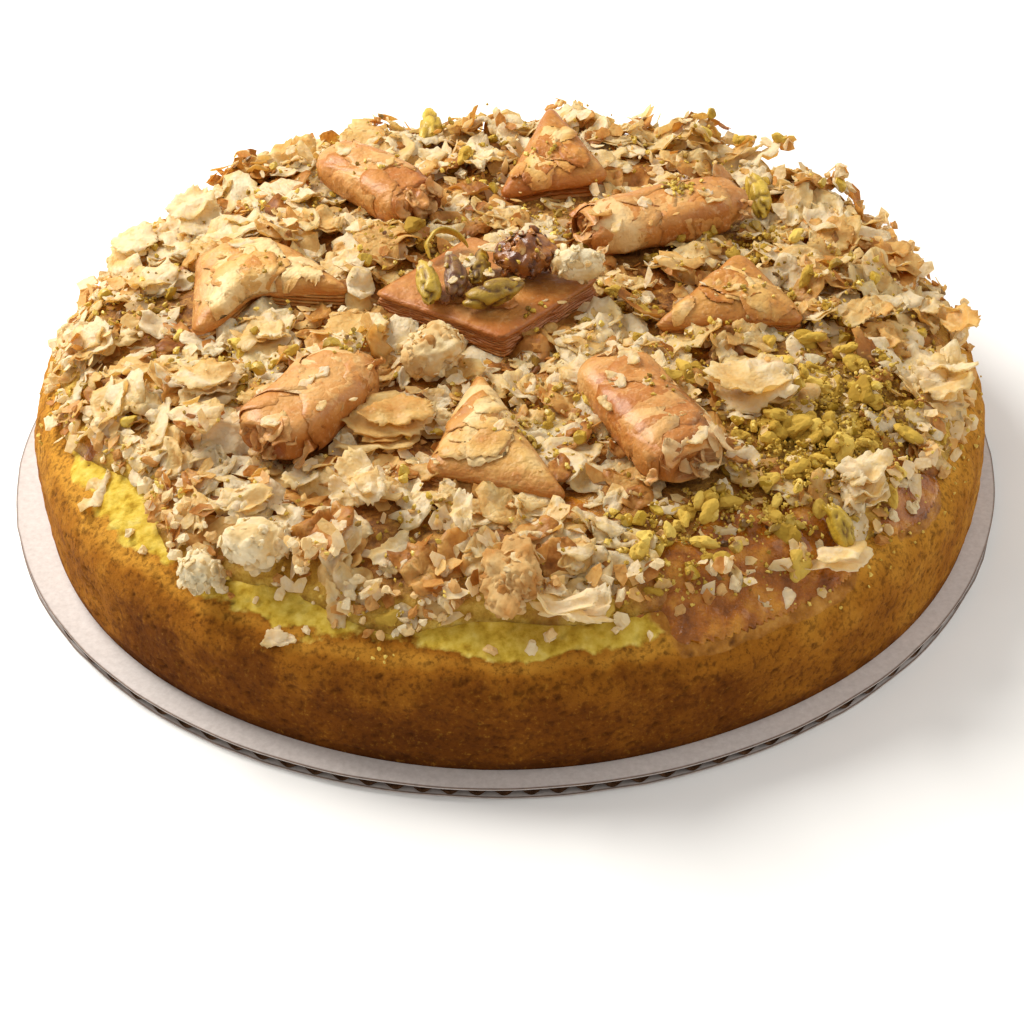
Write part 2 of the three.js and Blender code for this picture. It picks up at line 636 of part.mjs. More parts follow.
// The solid of a scattered piece where it clears every obstacle, or none if it can't
function fittedSolid(piece, obstacles) {
  for (let step = 0; step < LIFT_STEPS; step += 1) {
    const solid = solidOf(piece);
    if (obstacles.every((other) => solid.intersect(other).isEmpty())) {
      return solid;
    }
    piece.translate(0, 0, LIFT_STEP);
  }
  return null;
}

function heapMesh(obstacles) {
  const core = solidOf(heapCoreGeometry().translate(CAKE_CENTRE_X, CAKE_CENTRE_Y, 0));
  const fitted = scatteredPieces().map((piece) => fittedSolid(piece, obstacles)).filter((solid) => solid);
  const fused = fitted.reduce((solid, piece) => solid.add(piece), core);
  return namedMesh('topping_heap', geometryOf(largestPart(fused)), food(COLOURS.heap, 0.75));
}

// The stack from the card upwards
THREE.MathUtils.seededRandom(SEED);

const card = namedMesh('card_round', cardGeometry(), food(COLOURS.card, 0.85));
card.position.set(0, 0, CARD_THICKNESS / 2);

const sponge = namedMesh('sponge_cake', spongeGeometry(), food(COLOURS.sponge, 0.9));
sponge.position.set(CAKE_CENTRE_X, CAKE_CENTRE_Y, 0);

const slabs = SLABS.map(slabMesh);
const rolls = ROLLS.map((roll) => (
  laidMesh(namedMesh(roll.name, rollGeometry(roll.size), food(roll.colour, 0.45)), roll)
));
const kernels = KERNELS.map((kernel) => {
  const geometry = kernel.curved ? sliceGeometry() : kernelGeometry(kernel.scale);
  return laidMesh(namedMesh(kernel.name, geometry, food(COLOURS.kernel, 0.5)), kernel);
});
const lumps = LUMPS.map((lump) => {
  const detail = Math.max(...lump.size) > FINE_LUMP_SIZE ? 2 : 1;
  const geometry = lumpGeometry(lump.size, LUMP_KNOB, detail);
  return laidMesh(namedMesh(lump.name, geometry, food(lump.colour, 0.6)), lump);
});
const shards = SHARDS.map((shard) => (
  laidMesh(namedMesh(`filo_${shard.name}`, shardGeometry(shard), food(COLOURS.shard, 0.6)), shard)
));

// Each large piece is cut clear of those before it, and the sponge keeps its whole form
const large = [...slabs, ...rolls, ...kernels, ...lumps, ...shards];
const grown = [sponge, ...large].map(swollenSolid);
large.forEach((mesh, i) => clearOf(mesh, grown.slice(0, i + 1)));

const cake = new THREE.Group();
cake.add(sponge, heapMesh(grown), ...large);

const part = new THREE.Group();
part.add(card, cake);

export default part;
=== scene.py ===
import functools
import math

import bpy
import numpy as np
from mathutils import Matrix, Vector


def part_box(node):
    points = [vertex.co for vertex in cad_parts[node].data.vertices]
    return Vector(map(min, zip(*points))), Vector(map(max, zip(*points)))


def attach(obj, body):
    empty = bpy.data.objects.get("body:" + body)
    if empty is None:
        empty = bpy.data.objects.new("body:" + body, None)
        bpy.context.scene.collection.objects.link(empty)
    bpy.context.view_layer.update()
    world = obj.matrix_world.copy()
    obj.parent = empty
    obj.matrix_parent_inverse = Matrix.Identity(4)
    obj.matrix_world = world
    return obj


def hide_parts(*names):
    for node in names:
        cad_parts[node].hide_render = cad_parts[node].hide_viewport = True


METRE = 0.001
TURN = 2 * math.pi
SEED = 11

# Card and cake
CARD_RADIUS = 127.0
CARD_THICKNESS = 3.0
LINER = 0.45
FLUTE_LENGTH = 6.2
FLUTE_HALF = 0.12
CARD_SIDES = 360
FLUTE_STEPS = 420
CAKE_X = 1.3
CAKE_Y = 0.8
SPONGE_RADIUS = 122.0
SPONGE_FOOT_INSET = 1.2
SPONGE_SIDE_TOP = 20.0
SPONGE_CROWN = 41.5
SPONGE_WAVE = 0.45
SHOULDER_POWER = 4.5
DOME_POWER = 2.2
SPONGE_COLUMNS = 640
SIDE_ROWS = 24
SHOULDER_ROWS = 34

# Heap of topping
HEAP_RADIUS = 115.5
HEAP_FRONT_INSET = 4.0
HEAP_CORE_DEPTH = 4.3
HEAP_CORE_RINGS = 60
HEAP_CORE_SIDES = 280
SPOT_REACH = 120

# Marks on the side of the sponge: headings in degrees and heights. The lit headings get painted light, the
# shaded one painted shade, and the line at the shoulder is a painted highlight
FRONT_ANGLE = 262
LIT_LEFT_ANGLE = 185
LIT_RIGHT_ANGLE = 352
SHADED_ANGLE = 230
SHOULDER_HIGHLIGHT_HEIGHT = 30
YELLOW_HEIGHTS = (29.5, 33.0)
SYRUP_HEIGHTS = (25, 29)

# Sheet of syrup: step and reach of its grid, how wet a place is where it starts and where it is full, and its
# height over the heap, the depth that its edge sinks, and its thickness under the heap
GLAZE_STEP = 0.9
GLAZE_REACH = 120
GLAZE_EDGE = 0.45
GLAZE_WET = (0.46, 0.8)
GLAZE_RISE = 1.8
GLAZE_SINK = 1.15
GLAZE_DEPTH = 0.9

# Places where the topping leaves the sponge bare: heading and half width in degrees, and depth
BARE_BITES = [(211, 13, 9.5), (239, 11, 4.0), (267, 7, 3.0), (286, 13, 4.5)]

# Diamond and triangles: corners as x, y and height of the top, rise of the dome, layers, colour tone, loose
# sheets on the top, how far the front is hollowed, and where it isn't usual, the rounding and the slot
SLABS = {
    "baklava_diamond": dict(
        corners=[(-32.6, 3.3, 53), (0.2, -19, 53), (25.3, 7.8, 53), (-7.5, 30.1, 53)],
        dome=0.6, layers=11, tone=0.5, sheets=5, cave=0.0, rounding=1.6, slot="glazed_pastry"),
    "baklava_triangle_left": dict(
        corners=[(-64, 31, 54.5), (-79, 26, 52.5), (-78, -8, 49), (-71, -4, 50.1),
                 (-62.5, 7.5, 52.2), (-36.5, 3, 54.2), (-53, 24, 54.8)],
        dome=2.6, layers=8, tone=0.8, sheets=15, cave=7.0),
    "baklava_triangle_front": dict(
        corners=[(-5.9, -33.5, 55), (-19.5, -68, 50), (15.3, -78.5, 49)],
        dome=2.4, layers=8, tone=0.78, sheets=11, cave=2.5),
    "baklava_triangle_right": dict(
        corners=[(36.4, -10.8, 51), (76.7, -9.3, 51), (61.3, 18, 55)],
        dome=2.4, layers=8, tone=0.62, sheets=12, cave=2.0),
    "baklava_triangle_back": dict(
        corners=[(14.3, 91, 58), (-1, 52, 51), (30.6, 60, 52)],
        dome=2.0, layers=8, tone=0.48, sheets=12, cave=3.0),
}

# Rolls: middle, heading of the long axis, size, colour tone and the angle round it of the palest side
ROLLS = {
    "baklava_roll_front_left": dict(at=(-45, -43.5), heading=57, size=(37, 20, 11.5), tone=0.46, pale=60),
    "baklava_roll_front_right": dict(at=(36, -52), heading=115, size=(45, 19.5, 11.5), tone=0.64, pale=200),
    "baklava_roll_back_right": dict(at=(42, 38.5), heading=22, size=(43, 18, 11), tone=0.46, pale=120),
    "baklava_roll_back_left": dict(at=(-32, 59), heading=132, size=(37, 17, 10.5), tone=0.42, pale=60),
}

# Whole pistachios: size before they are fitted, and for each the heading, tilt, paleness and share of skin
KERNEL_LENGTH = 16
KERNEL_WIDTH = 7
KERNEL_HEIGHT = 6.5
KERNELS = {
    "pistachio_kernel_left": dict(heading=100, tilt=14, tone=0.6, skin=0.1),
    "pistachio_kernel_middle": dict(heading=94, tilt=12, tone=0.3, skin=0.7),
    "pistachio_kernel_back": dict(heading=80, tilt=8, tone=0.36, skin=0.3),
    "pistachio_kernel_front": dict(heading=22, tilt=8, tone=0.38, skin=0.25),
    "pistachio_kernel_back_right": dict(heading=100, tilt=20, tone=0.7, skin=0.05),
    "pistachio_kernel_back_left": dict(heading=85, tilt=10, tone=0.75, skin=0.1),
    "pistachio_kernel_front_right": dict(heading=120, tilt=25, tone=0.6, skin=0.15),
}
SLICE = "pistachio_slice_curved"

# Lumps: size of the crumbs in them, depth of relief, and colour tone
LUMPS = {
    "candied_nut": dict(grain=5.0, relief=0.16, tone=0.3, slot="candied_nut"),
    "crumb_chunk_diamond": dict(grain=3.6, relief=0.1, tone=0.8),
    "crumb_ball_centre": dict(grain=3.4, relief=0.17, tone=0.66),
    "crumb_roll_front": dict(grain=3.2, relief=0.18, tone=0.5),
    "crumb_chunk_left": dict(grain=4.0, relief=0.11, tone=0.9),
    "crumb_chunk_rim_left": dict(grain=3.6, relief=0.1, tone=0.97),
}

# Large shards of filo: make, heading, number of leaves and colour tone
SHARDS = {
    "filo_rose_right": dict(make="rose", heading=80, leaves=9, tone=0.9),
    "filo_stack_right": dict(make="stack", heading=60, leaves=6, tone=0.95),
    "filo_curl_right": dict(make="rose", heading=85, leaves=6, tone=0.7),
    "filo_rose_back_right": dict(make="rose", heading=70, leaves=6, tone=0.66),
    "filo_sheet_right": dict(make="sheet", heading=160, leaves=4, tone=0.84),
    "filo_fold_centre": dict(make="stack", heading=10, leaves=5, tone=0.7),
    "filo_flake_left": dict(make="sheet", heading=75, leaves=3, tone=0.92),
    "filo_sheet_front_left": dict(make="sheet", heading=30, leaves=4, tone=0.72),
    "filo_shard_back_left": dict(make="stack", heading=60, leaves=3, tone=1.0),
    "filo_shard_rim_left": dict(make="stack", heading=75, leaves=3, tone=0.98),
    "filo_rose_front": dict(make="rose", heading=15, leaves=8, tone=0.93),
    "filo_shard_front": dict(make="sheet", heading=95, leaves=2, tone=0.96),
    "filo_tuft_front_left": dict(make="rose", heading=70, leaves=7, tone=0.9),
    "filo_shard_middle_left": dict(make="sheet", heading=80, leaves=2, tone=1.0),
    "filo_flake_middle": dict(make="sheet", heading=20, leaves=3, tone=0.78),
    "filo_shard_rim_right": dict(make="stack", heading=35, leaves=2, tone=0.9),
    "filo_heap_back_left": dict(make="rose", heading=20, leaves=8, tone=0.76),
    "filo_shard_left": dict(make="stack", heading=40, leaves=4, tone=0.9),
}

# Places where chopped pistachio and its powder gather: x, y, radius and strength
GREEN_PLACES = [
    (72, -48, 24, 0.95), (92, -30, 14, 0.5), (86, 2, 20, 0.5), (52, -84, 18, 0.7), (88, -66, 13, 0.7),
    (12, -48, 12, 0.7), (40, -22, 14, 0.5), (28, 2, 10, 0.5), (62, 30, 13, 0.5), (-66, -29, 8, 0.8),
    (-62, -14, 9, 0.5), (-18, -84, 9, 0.35), (20, -104, 9, 0.4), (-55, 62, 12, 0.45), (14, 40, 12, 0.6),
    (-22, 32, 12, 0.55), (60, 66, 14, 0.35), (-5, 78, 10, 0.4), (-92, 14, 10, 0.45), (36, -92, 9, 0.6),
]

# Places with the palest flakes: partly paler flakes, partly painted light where the heap is lit
PALE_AND_LIT_PLACES = [
    (-96, -20, 34, 1.0), (-70, -60, 36, 0.8), (-84, 52, 26, 0.9), (-20, -80, 34, 0.6), (2, -100, 20, 0.5),
    (96, -24, 16, 0.6), (-60, 80, 36, 0.7), (0, 100, 36, 0.6), (60, 80, 36, 0.6), (100, 20, 30, 0.6),
]

# Wet amber syrup on the sponge: x, y, radius and strength
SYRUP_PLACES = [
    (50, -97, 20, 1.4), (68, -86, 14, 1.1), (96, -60, 13, 1.1), (18, -80, 9, 0.7), (-100, -36, 7, 0.7),
]

# Extra shards, given one by one: x, y, length, heading and tone
EXTRA_SHARDS = [
    (-59, -3, 19, 75, 0.95), (-39, 24, 17, 80, 1.0), (48, -85, 13, 20, 0.85), (-52, -104, 10, 10, 0.95),
    (76, -87, 18, 35, 0.95), (61, -97, 9, 20, 0.9), (21, -9, 9, 30, 1.0), (29, -21, 16, 0, 0.8),
    (-70, -27, 20, 40, 0.9), (-73, -47, 19, 25, 0.95), (-85, -44, 20, 60, 0.95), (-72, -72, 17, 120, 0.7),
    (-11, 107, 17, 0, 0.75), (42, 94, 17, 30, 0.7), (78, 48, 18, 60, 0.7), (90, 34, 18, 80, 0.65),
    (-95, -29, 21, 65, 1.0), (-111, 14, 16, 80, 0.97), (-88, 22, 18, 50, 0.9), (-104, -4, 17, 100, 0.85),
    (-86, 0, 18, 20, 0.9), (-98, -52, 15, 60, 0.95), (-60, -72, 16, 0, 0.85), (-46, -68, 15, 60, 0.95),
    (-14, -64, 13, 100, 0.8), (22, -84, 14, 20, 0.7), (-28, -92, 16, 45, 0.85), (-38, -100, 14, 90, 0.8),
    (66, -70, 14, 60, 0.8), (100, -48, 15, 30, 0.75), (56, -20, 12, 90, 0.75), (84, 20, 15, 10, 0.6),
    (104, 24, 15, 60, 0.62), (60, 88, 17, 20, 0.7), (80, 74, 16, 60, 0.66), (20, 108, 15, 80, 0.72),
    (-40, 104, 17, 20, 0.8), (-78, 76, 18, 50, 0.85), (-96, 60, 17, 70, 0.92), (-54, 46, 14, 0, 0.8),
    (-20, 72, 15, 60, 0.7), (50, 58, 13, 100, 0.7), (-98, 30, 16, 110, 0.9), (2, 44, 13, 30, 0.7),
    (-14, -46, 13, 20, 0.9), (14, -94, 12, 0, 0.9), (34, -70, 10, 70, 0.85), (70, 0, 10, 0, 0.6),
]

# Flakes that lie on the whole pieces: x, y, length, heading and tone
PIECE_FLAKES = [
    (27, -45, 10, 115, 0.95), (24, -52, 9, 100, 0.9), (44, -68, 9, 60, 0.95), (47, -72, 7, 10, 1.0),
    (30, -36, 10, 130, 0.95), (-36, -28, 11, 60, 0.95), (-54, -58, 10, 57, 0.8), (-44, -40, 8, 40, 1.0),
    (26, 30, 10, 20, 0.6), (30, 26, 8, 60, 0.9), (56, 38, 9, 10, 0.85), (-42, 68, 9, 120, 0.85),
    (-8, 6, 6, 40, 1.0), (-3, 3, 5, 100, 1.0), (-12, -3, 4, 20, 0.95), (6, 13, 6, 70, 1.0),
    (13, 13, 5, 10, 0.95), (-3, 12, 11, 20, 1.0), (3, 14, 8, 60, 0.98), (-9, 9, 7, 110, 1.0),
    (-47, -44, 9, 40, 1.0), (-43, -52, 6, 80, 0.9), (46, 41, 9, 10, 0.97), (38, 36, 8, 70, 0.92),
    (54, 40, 7, 30, 0.95), (-30, 60, 8, 30, 0.85), (20, -3, 6, 20, 0.97), (34, -47, 6, 90, 0.8),
    (-66, 22, 8, 10, 0.95), (-1, -58, 6, 60, 0.9), (58, -2, 6, 20, 0.85), (40, -60, 6, 10, 0.8),
]

# Small green bits that lie on the whole pieces: x, y, spread and number
PIECE_GREENS = [
    (48, 43, 4.5, 46), (-36, -27, 4, 34), (-2, 3, 9, 22), (4, -58, 10, 14), (60, -3, 9, 14), (-60, 15, 10, 8),
    (36, -46, 6, 10), (-33, 60, 6, 10), (12, 66, 8, 12), (8, -8, 6, 10),
]

# Kinds of loose leaf: length, width as a share of the length, how much paler they are than others there,
# share of them that are double, and how they are torn and lie
LEAVES = {
    "small": dict(length=(3, 8), width=(0.45, 0.8), paler=0.03, double=0, look=dict(ragged=0.45)),
    "middling": dict(length=(8, 18), width=(0.55, 0.85), paler=0, double=0, look=dict(
        tilt=0.18, ragged=0.36, crumple=0.075, sides=16, rings=3)),
    "large": dict(length=(14, 27), width=(0.55, 0.8), paler=0.05, double=0.3, look=dict(
        tilt=0.12, curl=0.07, ragged=0.36, crumple=0.07, sides=30, rings=4)),
}

# Loose flakes in the order they fall: kind, number, margin inside the heap's outline, how far some lie beyond
# it, and how much they keep off the green places
FLAKES = [
    ("small", 950, 0.5, 1.5, 0.75), ("middling", 460, 2.0, 0.0, 0.9), ("large", 185, 4.0, 0.0, 0.95),
    ("middling", 200, 2.0, 0.0, 0.9),
]
TOP_FLAKES = ("small", 420, 0.5, 1.5, 0.6)

# Loose crumbs: number, smallest and largest size, and times that their faces are split
CRUMBS = [(36, 4.5, 7.0, 2), (230, 2.4, 4.6, 1), (600, 1.4, 3.0, 0)]

# Chopped pistachio: number, smallest and largest size, how far some lie beyond the heap, and times that their
# faces are split
NUTS = [(260, 2.8, 5.6, 4.0, 1), (800, 1.5, 3.0, 3.0, 0)]
NUT_CLUMPS = 130
POWDER_GRAINS = 4600

# Numbers of things along the edge of the heap and on the larger pieces
RIM_CRUMBS = 300
RIM_FLAKES = 330
FRONT_CRUMBS = 80
RIM_DUST = 640
BACK_LEAVES = 70
PIECE_DUST = 170
STUCK_BITS = 84

# Where the leaves at the far edge and the crumbs fallen at the front lie, with the headings in radians
BACK_HALF_WIDTH = 80
BACK_RADIUS = 112
FRONT_CRUMB_HEADINGS = (-2.5, -1.2)
FRONT_CRUMB_REACH = (103, 114)

# Loose leaves: share of their points that lie on what is below, share that may lie over a larger piece before
# the leaf is left out, depth they sink, steepest slope they lie on, and gap between those of a double one
LEAF_REST = 0.72
LEAF_SINK = 0.25
LEAF_OVER_PIECE = 0.3
LEAF_STEEPEST = 1.2
LEAF_GAP = 0.12

# Draws from 0 to 1 below which a flake is browned, and above which it is one of the palest
BROWNED_BELOW = 0.17
PALEST_ABOVE = 0.76

# Different shapes of crumb and of clump
KINDS_OF_CRUMB = 16
KINDS_OF_CLUMP = 12

# Meshes of the larger pieces: points round them and rows of points, leaves on a roll, and form of the slice
SLAB_COLUMNS = 100
SLAB_RINGS = 16
ROLL_COLUMNS = 60
ROLL_ROWS = 42
ROLL_LEAVES = 10
ROLL_END_LEAVES = 12
KERNEL_COLUMNS = 32
KERNEL_ROWS = 30
SLICE_COLUMNS = 14
SLICE_ROWS = 40
SLICE_RADIUS = 5.6
SLICE_HALF_ANGLE = 1.8

# Camera, fitted to the photo: distance in metres, angles in degrees, focal length as a share of the sensor
CAMERA_DISTANCE = 0.735
CAMERA_ELEVATION = 36.45
CAMERA_AIM = (0.00165, -0.0122)
CAMERA_ROLL = -1.0
SENSOR = 36.0
FOCAL_SHARE = 2800 / 1024

# Lights: place, size, power and colour
LIGHTS = {
    "key_light": ((-0.5, 0.36, 0.62), 0.5, 9.8, (1.0, 0.965, 0.9)),
    "side_light": ((0.72, 0.1, 0.5), 0.6, 1.6, (1.0, 0.97, 0.92)),
}
LIGHT_AIM = (0, 0, 0.03)
SKY_COLOUR = (1, 0.965, 0.91, 1)
SKY_STRENGTH = 0.6
FLOOR_HALF = 4.0
FLOOR_DROP = 0.0002

rng = np.random.default_rng(SEED)


# Numbers and noise

def smoothstep(value, low, high):
    share = np.clip((value - low) / (high - low), 0, 1)
    return share * share * (3 - 2 * share)


def lattice(cell, seed):
    """A value from 0 to 1 for each whole-number place"""
    mixed = cell[..., 0] * 374761393 + cell[..., 1] * 668265263 + cell[..., 2] * 1440662683
    mixed = (mixed + seed * 974634777) & 0xFFFFFFFF
    mixed = ((mixed ^ (mixed >> 13)) * 1274126177) & 0xFFFFFFFF
    return ((mixed ^ (mixed >> 16)) & 0xFFFFFF) / float(0xFFFFFF)


def noise(points, size, seed):
    """Smooth noise from -1 to 1, whose lumps are about size across"""
    scaled = np.asarray(points, float) / size
    base = np.floor(scaled).astype(np.int64)
    part = scaled - base
    part = part * part * (3 - 2 * part)
    total = 0
    for corner in np.ndindex(2, 2, 2):
        weight = np.prod(np.where(corner, part, 1 - part), axis=-1)
        total = total + weight * lattice(base + np.array(corner), seed)
    return 2 * total - 1


def cells(points, size, seed):
    """Distance to the nearest of points strewn one to a cell, in cell sizes"""
    scaled = np.asarray(points, float) / size
    base = np.floor(scaled).astype(np.int64)
    best = np.full(scaled.shape[:-1], 9.0)
    for step in np.ndindex(3, 3, 3):
        cell = base + np.array(step) - 1
        spot = cell + np.stack([lattice(cell, seed + k) for k in (1, 2, 3)], -1)
        best = np.minimum(best, np.linalg.norm(spot - scaled, axis=-1))
    return best


def domes(points, size, seed):
    """Height of round grains packed side by side, from 0 to 1"""
    return np.sqrt(np.maximum(0, 1 - cells(points, size, seed) ** 2))


def noise_at(place, height, size, seed):
    """Noise at places in the plane, at one height"""
    return noise(np.column_stack([place, np.full(len(place), height)]), size, seed)


def shade_near(mean, spread):
    return float(np.clip(rng.normal(mean, spread), 0.03, 1))


def on_plane(x, y):
    x, y = np.broadcast_arrays(x, y)
    return np.stack([x, y, np.zeros(x.shape)], -1)


def gathered(places, x, y):
    """How far a place lies in soft round places, from 0 to 1"""
    total = 0
    for px, py, radius, strength in places:
        total = total + strength * np.exp(-((x - px) ** 2 + (y - py) ** 2) / radius ** 2)
    return np.clip(total, 0, 1)


def turned(heading, pitch=0.0, roll=0.0):
    """Rotation by the roll about X, then the pitch about Y, then the heading about Z, in radians"""
    turn = Matrix.Rotation(heading, 3, "Z") @ Matrix.Rotation(pitch, 3, "Y") @ Matrix.Rotation(roll, 3, "X")
    return np.array(turn)


def round_steps(count):
    """Angles of a number of even steps round a circle"""
    return TURN * np.arange(count) / count


def angle_off(angle, middle):
    """Angle between a direction and another one that is given in degrees"""
    return np.abs((angle - math.radians(middle) + math.pi) % TURN - math.pi)


def facing(angle, middle):
    """How far a direction faces another one that is given in degrees, from 0 to 1"""
    return np.maximum(0, np.cos(angle - math.radians(middle)))


def unit(vectors):
    return vectors / np.linalg.norm(vectors, axis=-1, keepdims=True)


def node_box(node):
    """Low and high corner of a node, in millimetres"""
    return [np.array(corner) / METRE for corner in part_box(node)]


# Meshes

class Batch:
    """Many things gathered into one mesh, with values for each point"""

    def __init__(self):
        self.points = []
        self.faces = []
        self.values = {}
        self.total = 0

    def add(self, points, faces, **values):
        self.points.append(points)
        self.faces.extend(part + self.total for part in faces)
        for name, value in values.items():
            self.values.setdefault(name, []).append(np.broadcast_to(value, len(points)))
        self.total += len(points)

    def build(self, name, material, smooth):
        points = np.concatenate(self.points) * METRE
        values = {key: np.concatenate(parts) for key, parts in self.values.items()}
        return mesh_object(name, points, self.faces, material, values, smooth)


def linked(name, data):
    thing = bpy.data.objects.new(name, data)
    bpy.context.scene.collection.objects.link(thing)
    return thing


def mesh_object(name, points, faces, material, values, smooth):
    corners = np.concatenate([part.ravel() for part in faces])
    counts = np.concatenate([np.full(len(part), part.shape[1]) for part in faces])
    starts = np.concatenate([[0], np.cumsum(counts)[:-1]])
    mesh = bpy.data.meshes.new(name)
    mesh.vertices.add(len(points))
    mesh.vertices.foreach_set("co", np.ascontiguousarray(points, np.float32).ravel())
    mesh.loops.add(len(corners))
    mesh.loops.foreach_set("vertex_index", corners.astype(np.int32))
    mesh.polygons.add(len(counts))
    mesh.polygons.foreach_set("loop_start", starts.astype(np.int32))
    mesh.polygons.foreach_set("use_smooth", np.full(len(counts), smooth))
    mesh.update(calc_edges=True)
    for key, value in values.items():
        attribute = mesh.attributes.new(key, "FLOAT", "POINT")
        attribute.data.foreach_set("value", np.ascontiguousarray(value, np.float32))
    mesh.materials.append(material)
    return linked(name, mesh)


@functools.lru_cache(maxsize=None)
def material_of(look):
    """The material of a look, made when it is first asked for"""
    return PAINTS[look]()


def place_batch(batch, name, slot, *nodes, look=None, smooth=True):
    """Builds a batch in the material of its slot, or of another look, and puts it in the frame"""
    piece = batch.build(name, material_of(look or slot), smooth)
    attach(piece, "root")
    if nodes:
        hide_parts(*nodes)


def dress_node(batch, node, slot):
    place_batch(batch, node + "_look", slot, node)


def lattice_faces(rows, columns, wrap=True):
    """Quads over rows of points, joined round the columns when they wrap"""
    across = np.arange(columns if wrap else columns - 1)
    beside = (across + 1) % columns
    low = np.arange(rows - 1)[:, None] * columns
    quads = np.stack([low + across, low + beside, low + columns + beside, low + columns + across], -1)
    return quads.reshape(-1, 4)


def fan_faces(first, count, centre):
    across = np.arange(count)
    return np.stack([first + across, first + (across + 1) % count, np.full(count, centre)], -1)


def capped_faces(rows, columns):
    """Faces of rows of points, closed by a last point under the first row and one over the last row"""
    count = rows * columns
    under = fan_faces(0, columns, count)[:, ::-1]
    over = fan_faces(count - columns, columns, count + 1)
    return [lattice_faces(rows, columns), under, over]


@functools.lru_cache(maxsize=None)
def sphere(level):
    """Points and triangles of a ball of twenty triangles, split level times, or of eight below level 0"""
    if level < 0:
        points = np.concatenate([np.eye(3), -np.eye(3)])
        triangles = [(0, 1, 2), (1, 3, 2), (3, 4, 2), (4, 0, 2), (1, 0, 5), (3, 1, 5), (4, 3, 5), (0, 4, 5)]
        return points, np.array(triangles)
    golden = (1 + 5 ** 0.5) / 2
    sides = [(a, b) for a in (-1, 1) for b in (-golden, golden)]
    corners = [(a, b, 0) for a, b in sides] + [(0, a, b) for a, b in sides] + [(b, 0, a) for a, b in sides]
    corners = np.array(corners, float)
    corners /= np.linalg.norm(corners[0])
    near = np.linalg.norm(corners[:, None] - corners[None], axis=-1) < 1.1
    triangles = []
    for a in range(12):
        for b in range(a + 1, 12):
            for c in range(b + 1, 12):
                if near[a, b] and near[b, c] and near[a, c]:
                    outward = np.cross(corners[b] - corners[a], corners[c] - corners[a]) @ corners[a]
                    triangles.append((a, b, c) if outward > 0 else (a, c, b))
    points = [tuple(corner) for corner in corners]
    for step in range(level):
        middle = {}
        split = []
        for a, b, c in triangles:
            edges = []
            for pair in ((a, b), (b, c), (c, a)):
                key = (min(pair), max(pair))
                if key not in middle:
                    between = np.array(points[pair[0]]) + np.array(points[pair[1]])
                    middle[key] = len(points)
                    points.append(tuple(between / np.linalg.norm(between)))
                edges.append(middle[key])
            ab, bc, ca = edges
            split += [(a, ab, ca), (b, bc, ab), (c, ca, bc), (ab, bc, ca)]
        triangles = split
    return np.array(points), np.array(triangles)


@functools.lru_cache(maxsize=None)
def clump_ball(level, kind):
    """A ball of fused grains of nut powder"""
    ball, triangles = sphere(level)
    swell = domes(ball * 2.6, 1.0, 300 + kind)
    bulge = 0.9 * noise(ball, 1.1, 340 + kind)
    return ball * (0.75 + 0.4 * swell + bulge)[:, None], triangles


@functools.lru_cache(maxsize=None)
def chipped_ball(level, kind):
    """A ball cut by flat faces, as a chopped nut is"""
    ball, triangles = sphere(level)
    own = np.random.default_rng(900 + kind)
    points = ball.copy()
    for chip in range(8):
        normal = own.normal(size=3)
        normal /= np.linalg.norm(normal)
        beyond = np.maximum(0, points @ normal - own.uniform(0.4, 0.75))
        points -= beyond[:, None] * normal
    return points, triangles


@functools.lru_cache(maxsize=None)
def torn_ball(level, kind):
    """A jagged lump of torn layers of filo"""
    points, triangles = chipped_ball(level, kind)
    own = np.random.default_rng(700 + kind)
    steps = 0.16 * np.round(2.5 * noise(points * (1, 1, 2.5), 0.9, 300 + kind))
    return points * (1 + steps + own.normal(0, 0.09, len(points)))[:, None], triangles


def crumb_shape(level):
    return torn_ball(level, int(rng.integers(KINDS_OF_CRUMB)))


def nut_shape(level):
    return chipped_ball(level, int(rng.integers(KINDS_OF_CRUMB)))


# Forms of the sponge and of the heap

def sponge_radius(angle):
    return SPONGE_RADIUS + SPONGE_WAVE * (np.sin(3 * angle + 0.7) + 0.7 * np.sin(7 * angle))


def sponge_top(share):
    rise = np.clip(1 - np.clip(share, 0, 1) ** SHOULDER_POWER, 0, 1) ** (1 / DOME_POWER)
    return SPONGE_SIDE_TOP + (SPONGE_CROWN - SPONGE_SIDE_TOP) * rise


def heap_radius(angle):
    front = np.maximum(0, -np.sin(angle)) ** 2 * HEAP_FRONT_INSET
    radius = HEAP_RADIUS - front + 0.9 * np.sin(5 * angle + 1) + 0.8 * np.sin(13 * angle)
    for middle, half_width, depth in BARE_BITES:
        reach = math.radians(half_width) * 1.6
        radius = radius - depth * (1 - smoothstep(angle_off(angle, middle), 0, reach))
    return radius


def around(x, y):
    """Angle and distance of a place from the middle of the cake"""
    return np.arctan2(y - CAKE_Y, x - CAKE_X), np.hypot(x - CAKE_X, y - CAKE_Y)


def bare_top(x, y):
    angle, radius = around(x, y)
    return sponge_top(radius / sponge_radius(angle))


def core_top(x, y):
    """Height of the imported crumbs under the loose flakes"""
    angle, radius = around(x, y)
    inward = np.clip(1 - radius / heap_radius(angle), 0, 1)
    depth = HEAP_CORE_DEPTH * smoothstep(inward, -0.03, 0.1)
    lumps = 1.1 * noise(on_plane(x, y), 13, 5) + 0.7 * noise(on_plane(x, y), 5.5, 6)
    return bare_top(x, y) + 0.25 + np.maximum(0, depth + lumps * smoothstep(inward, 0, 0.05))


# Materials

def linear(colour):
    """Linear red, green, blue and one, from values of 0 to 255 as seen on a screen"""
    shares = [part / 255 for part in colour]
    values = [s / 12.92 if s <= 0.04045 else ((s + 0.055) / 1.055) ** 2.4 for s in shares]
    return (*values, 1.0)


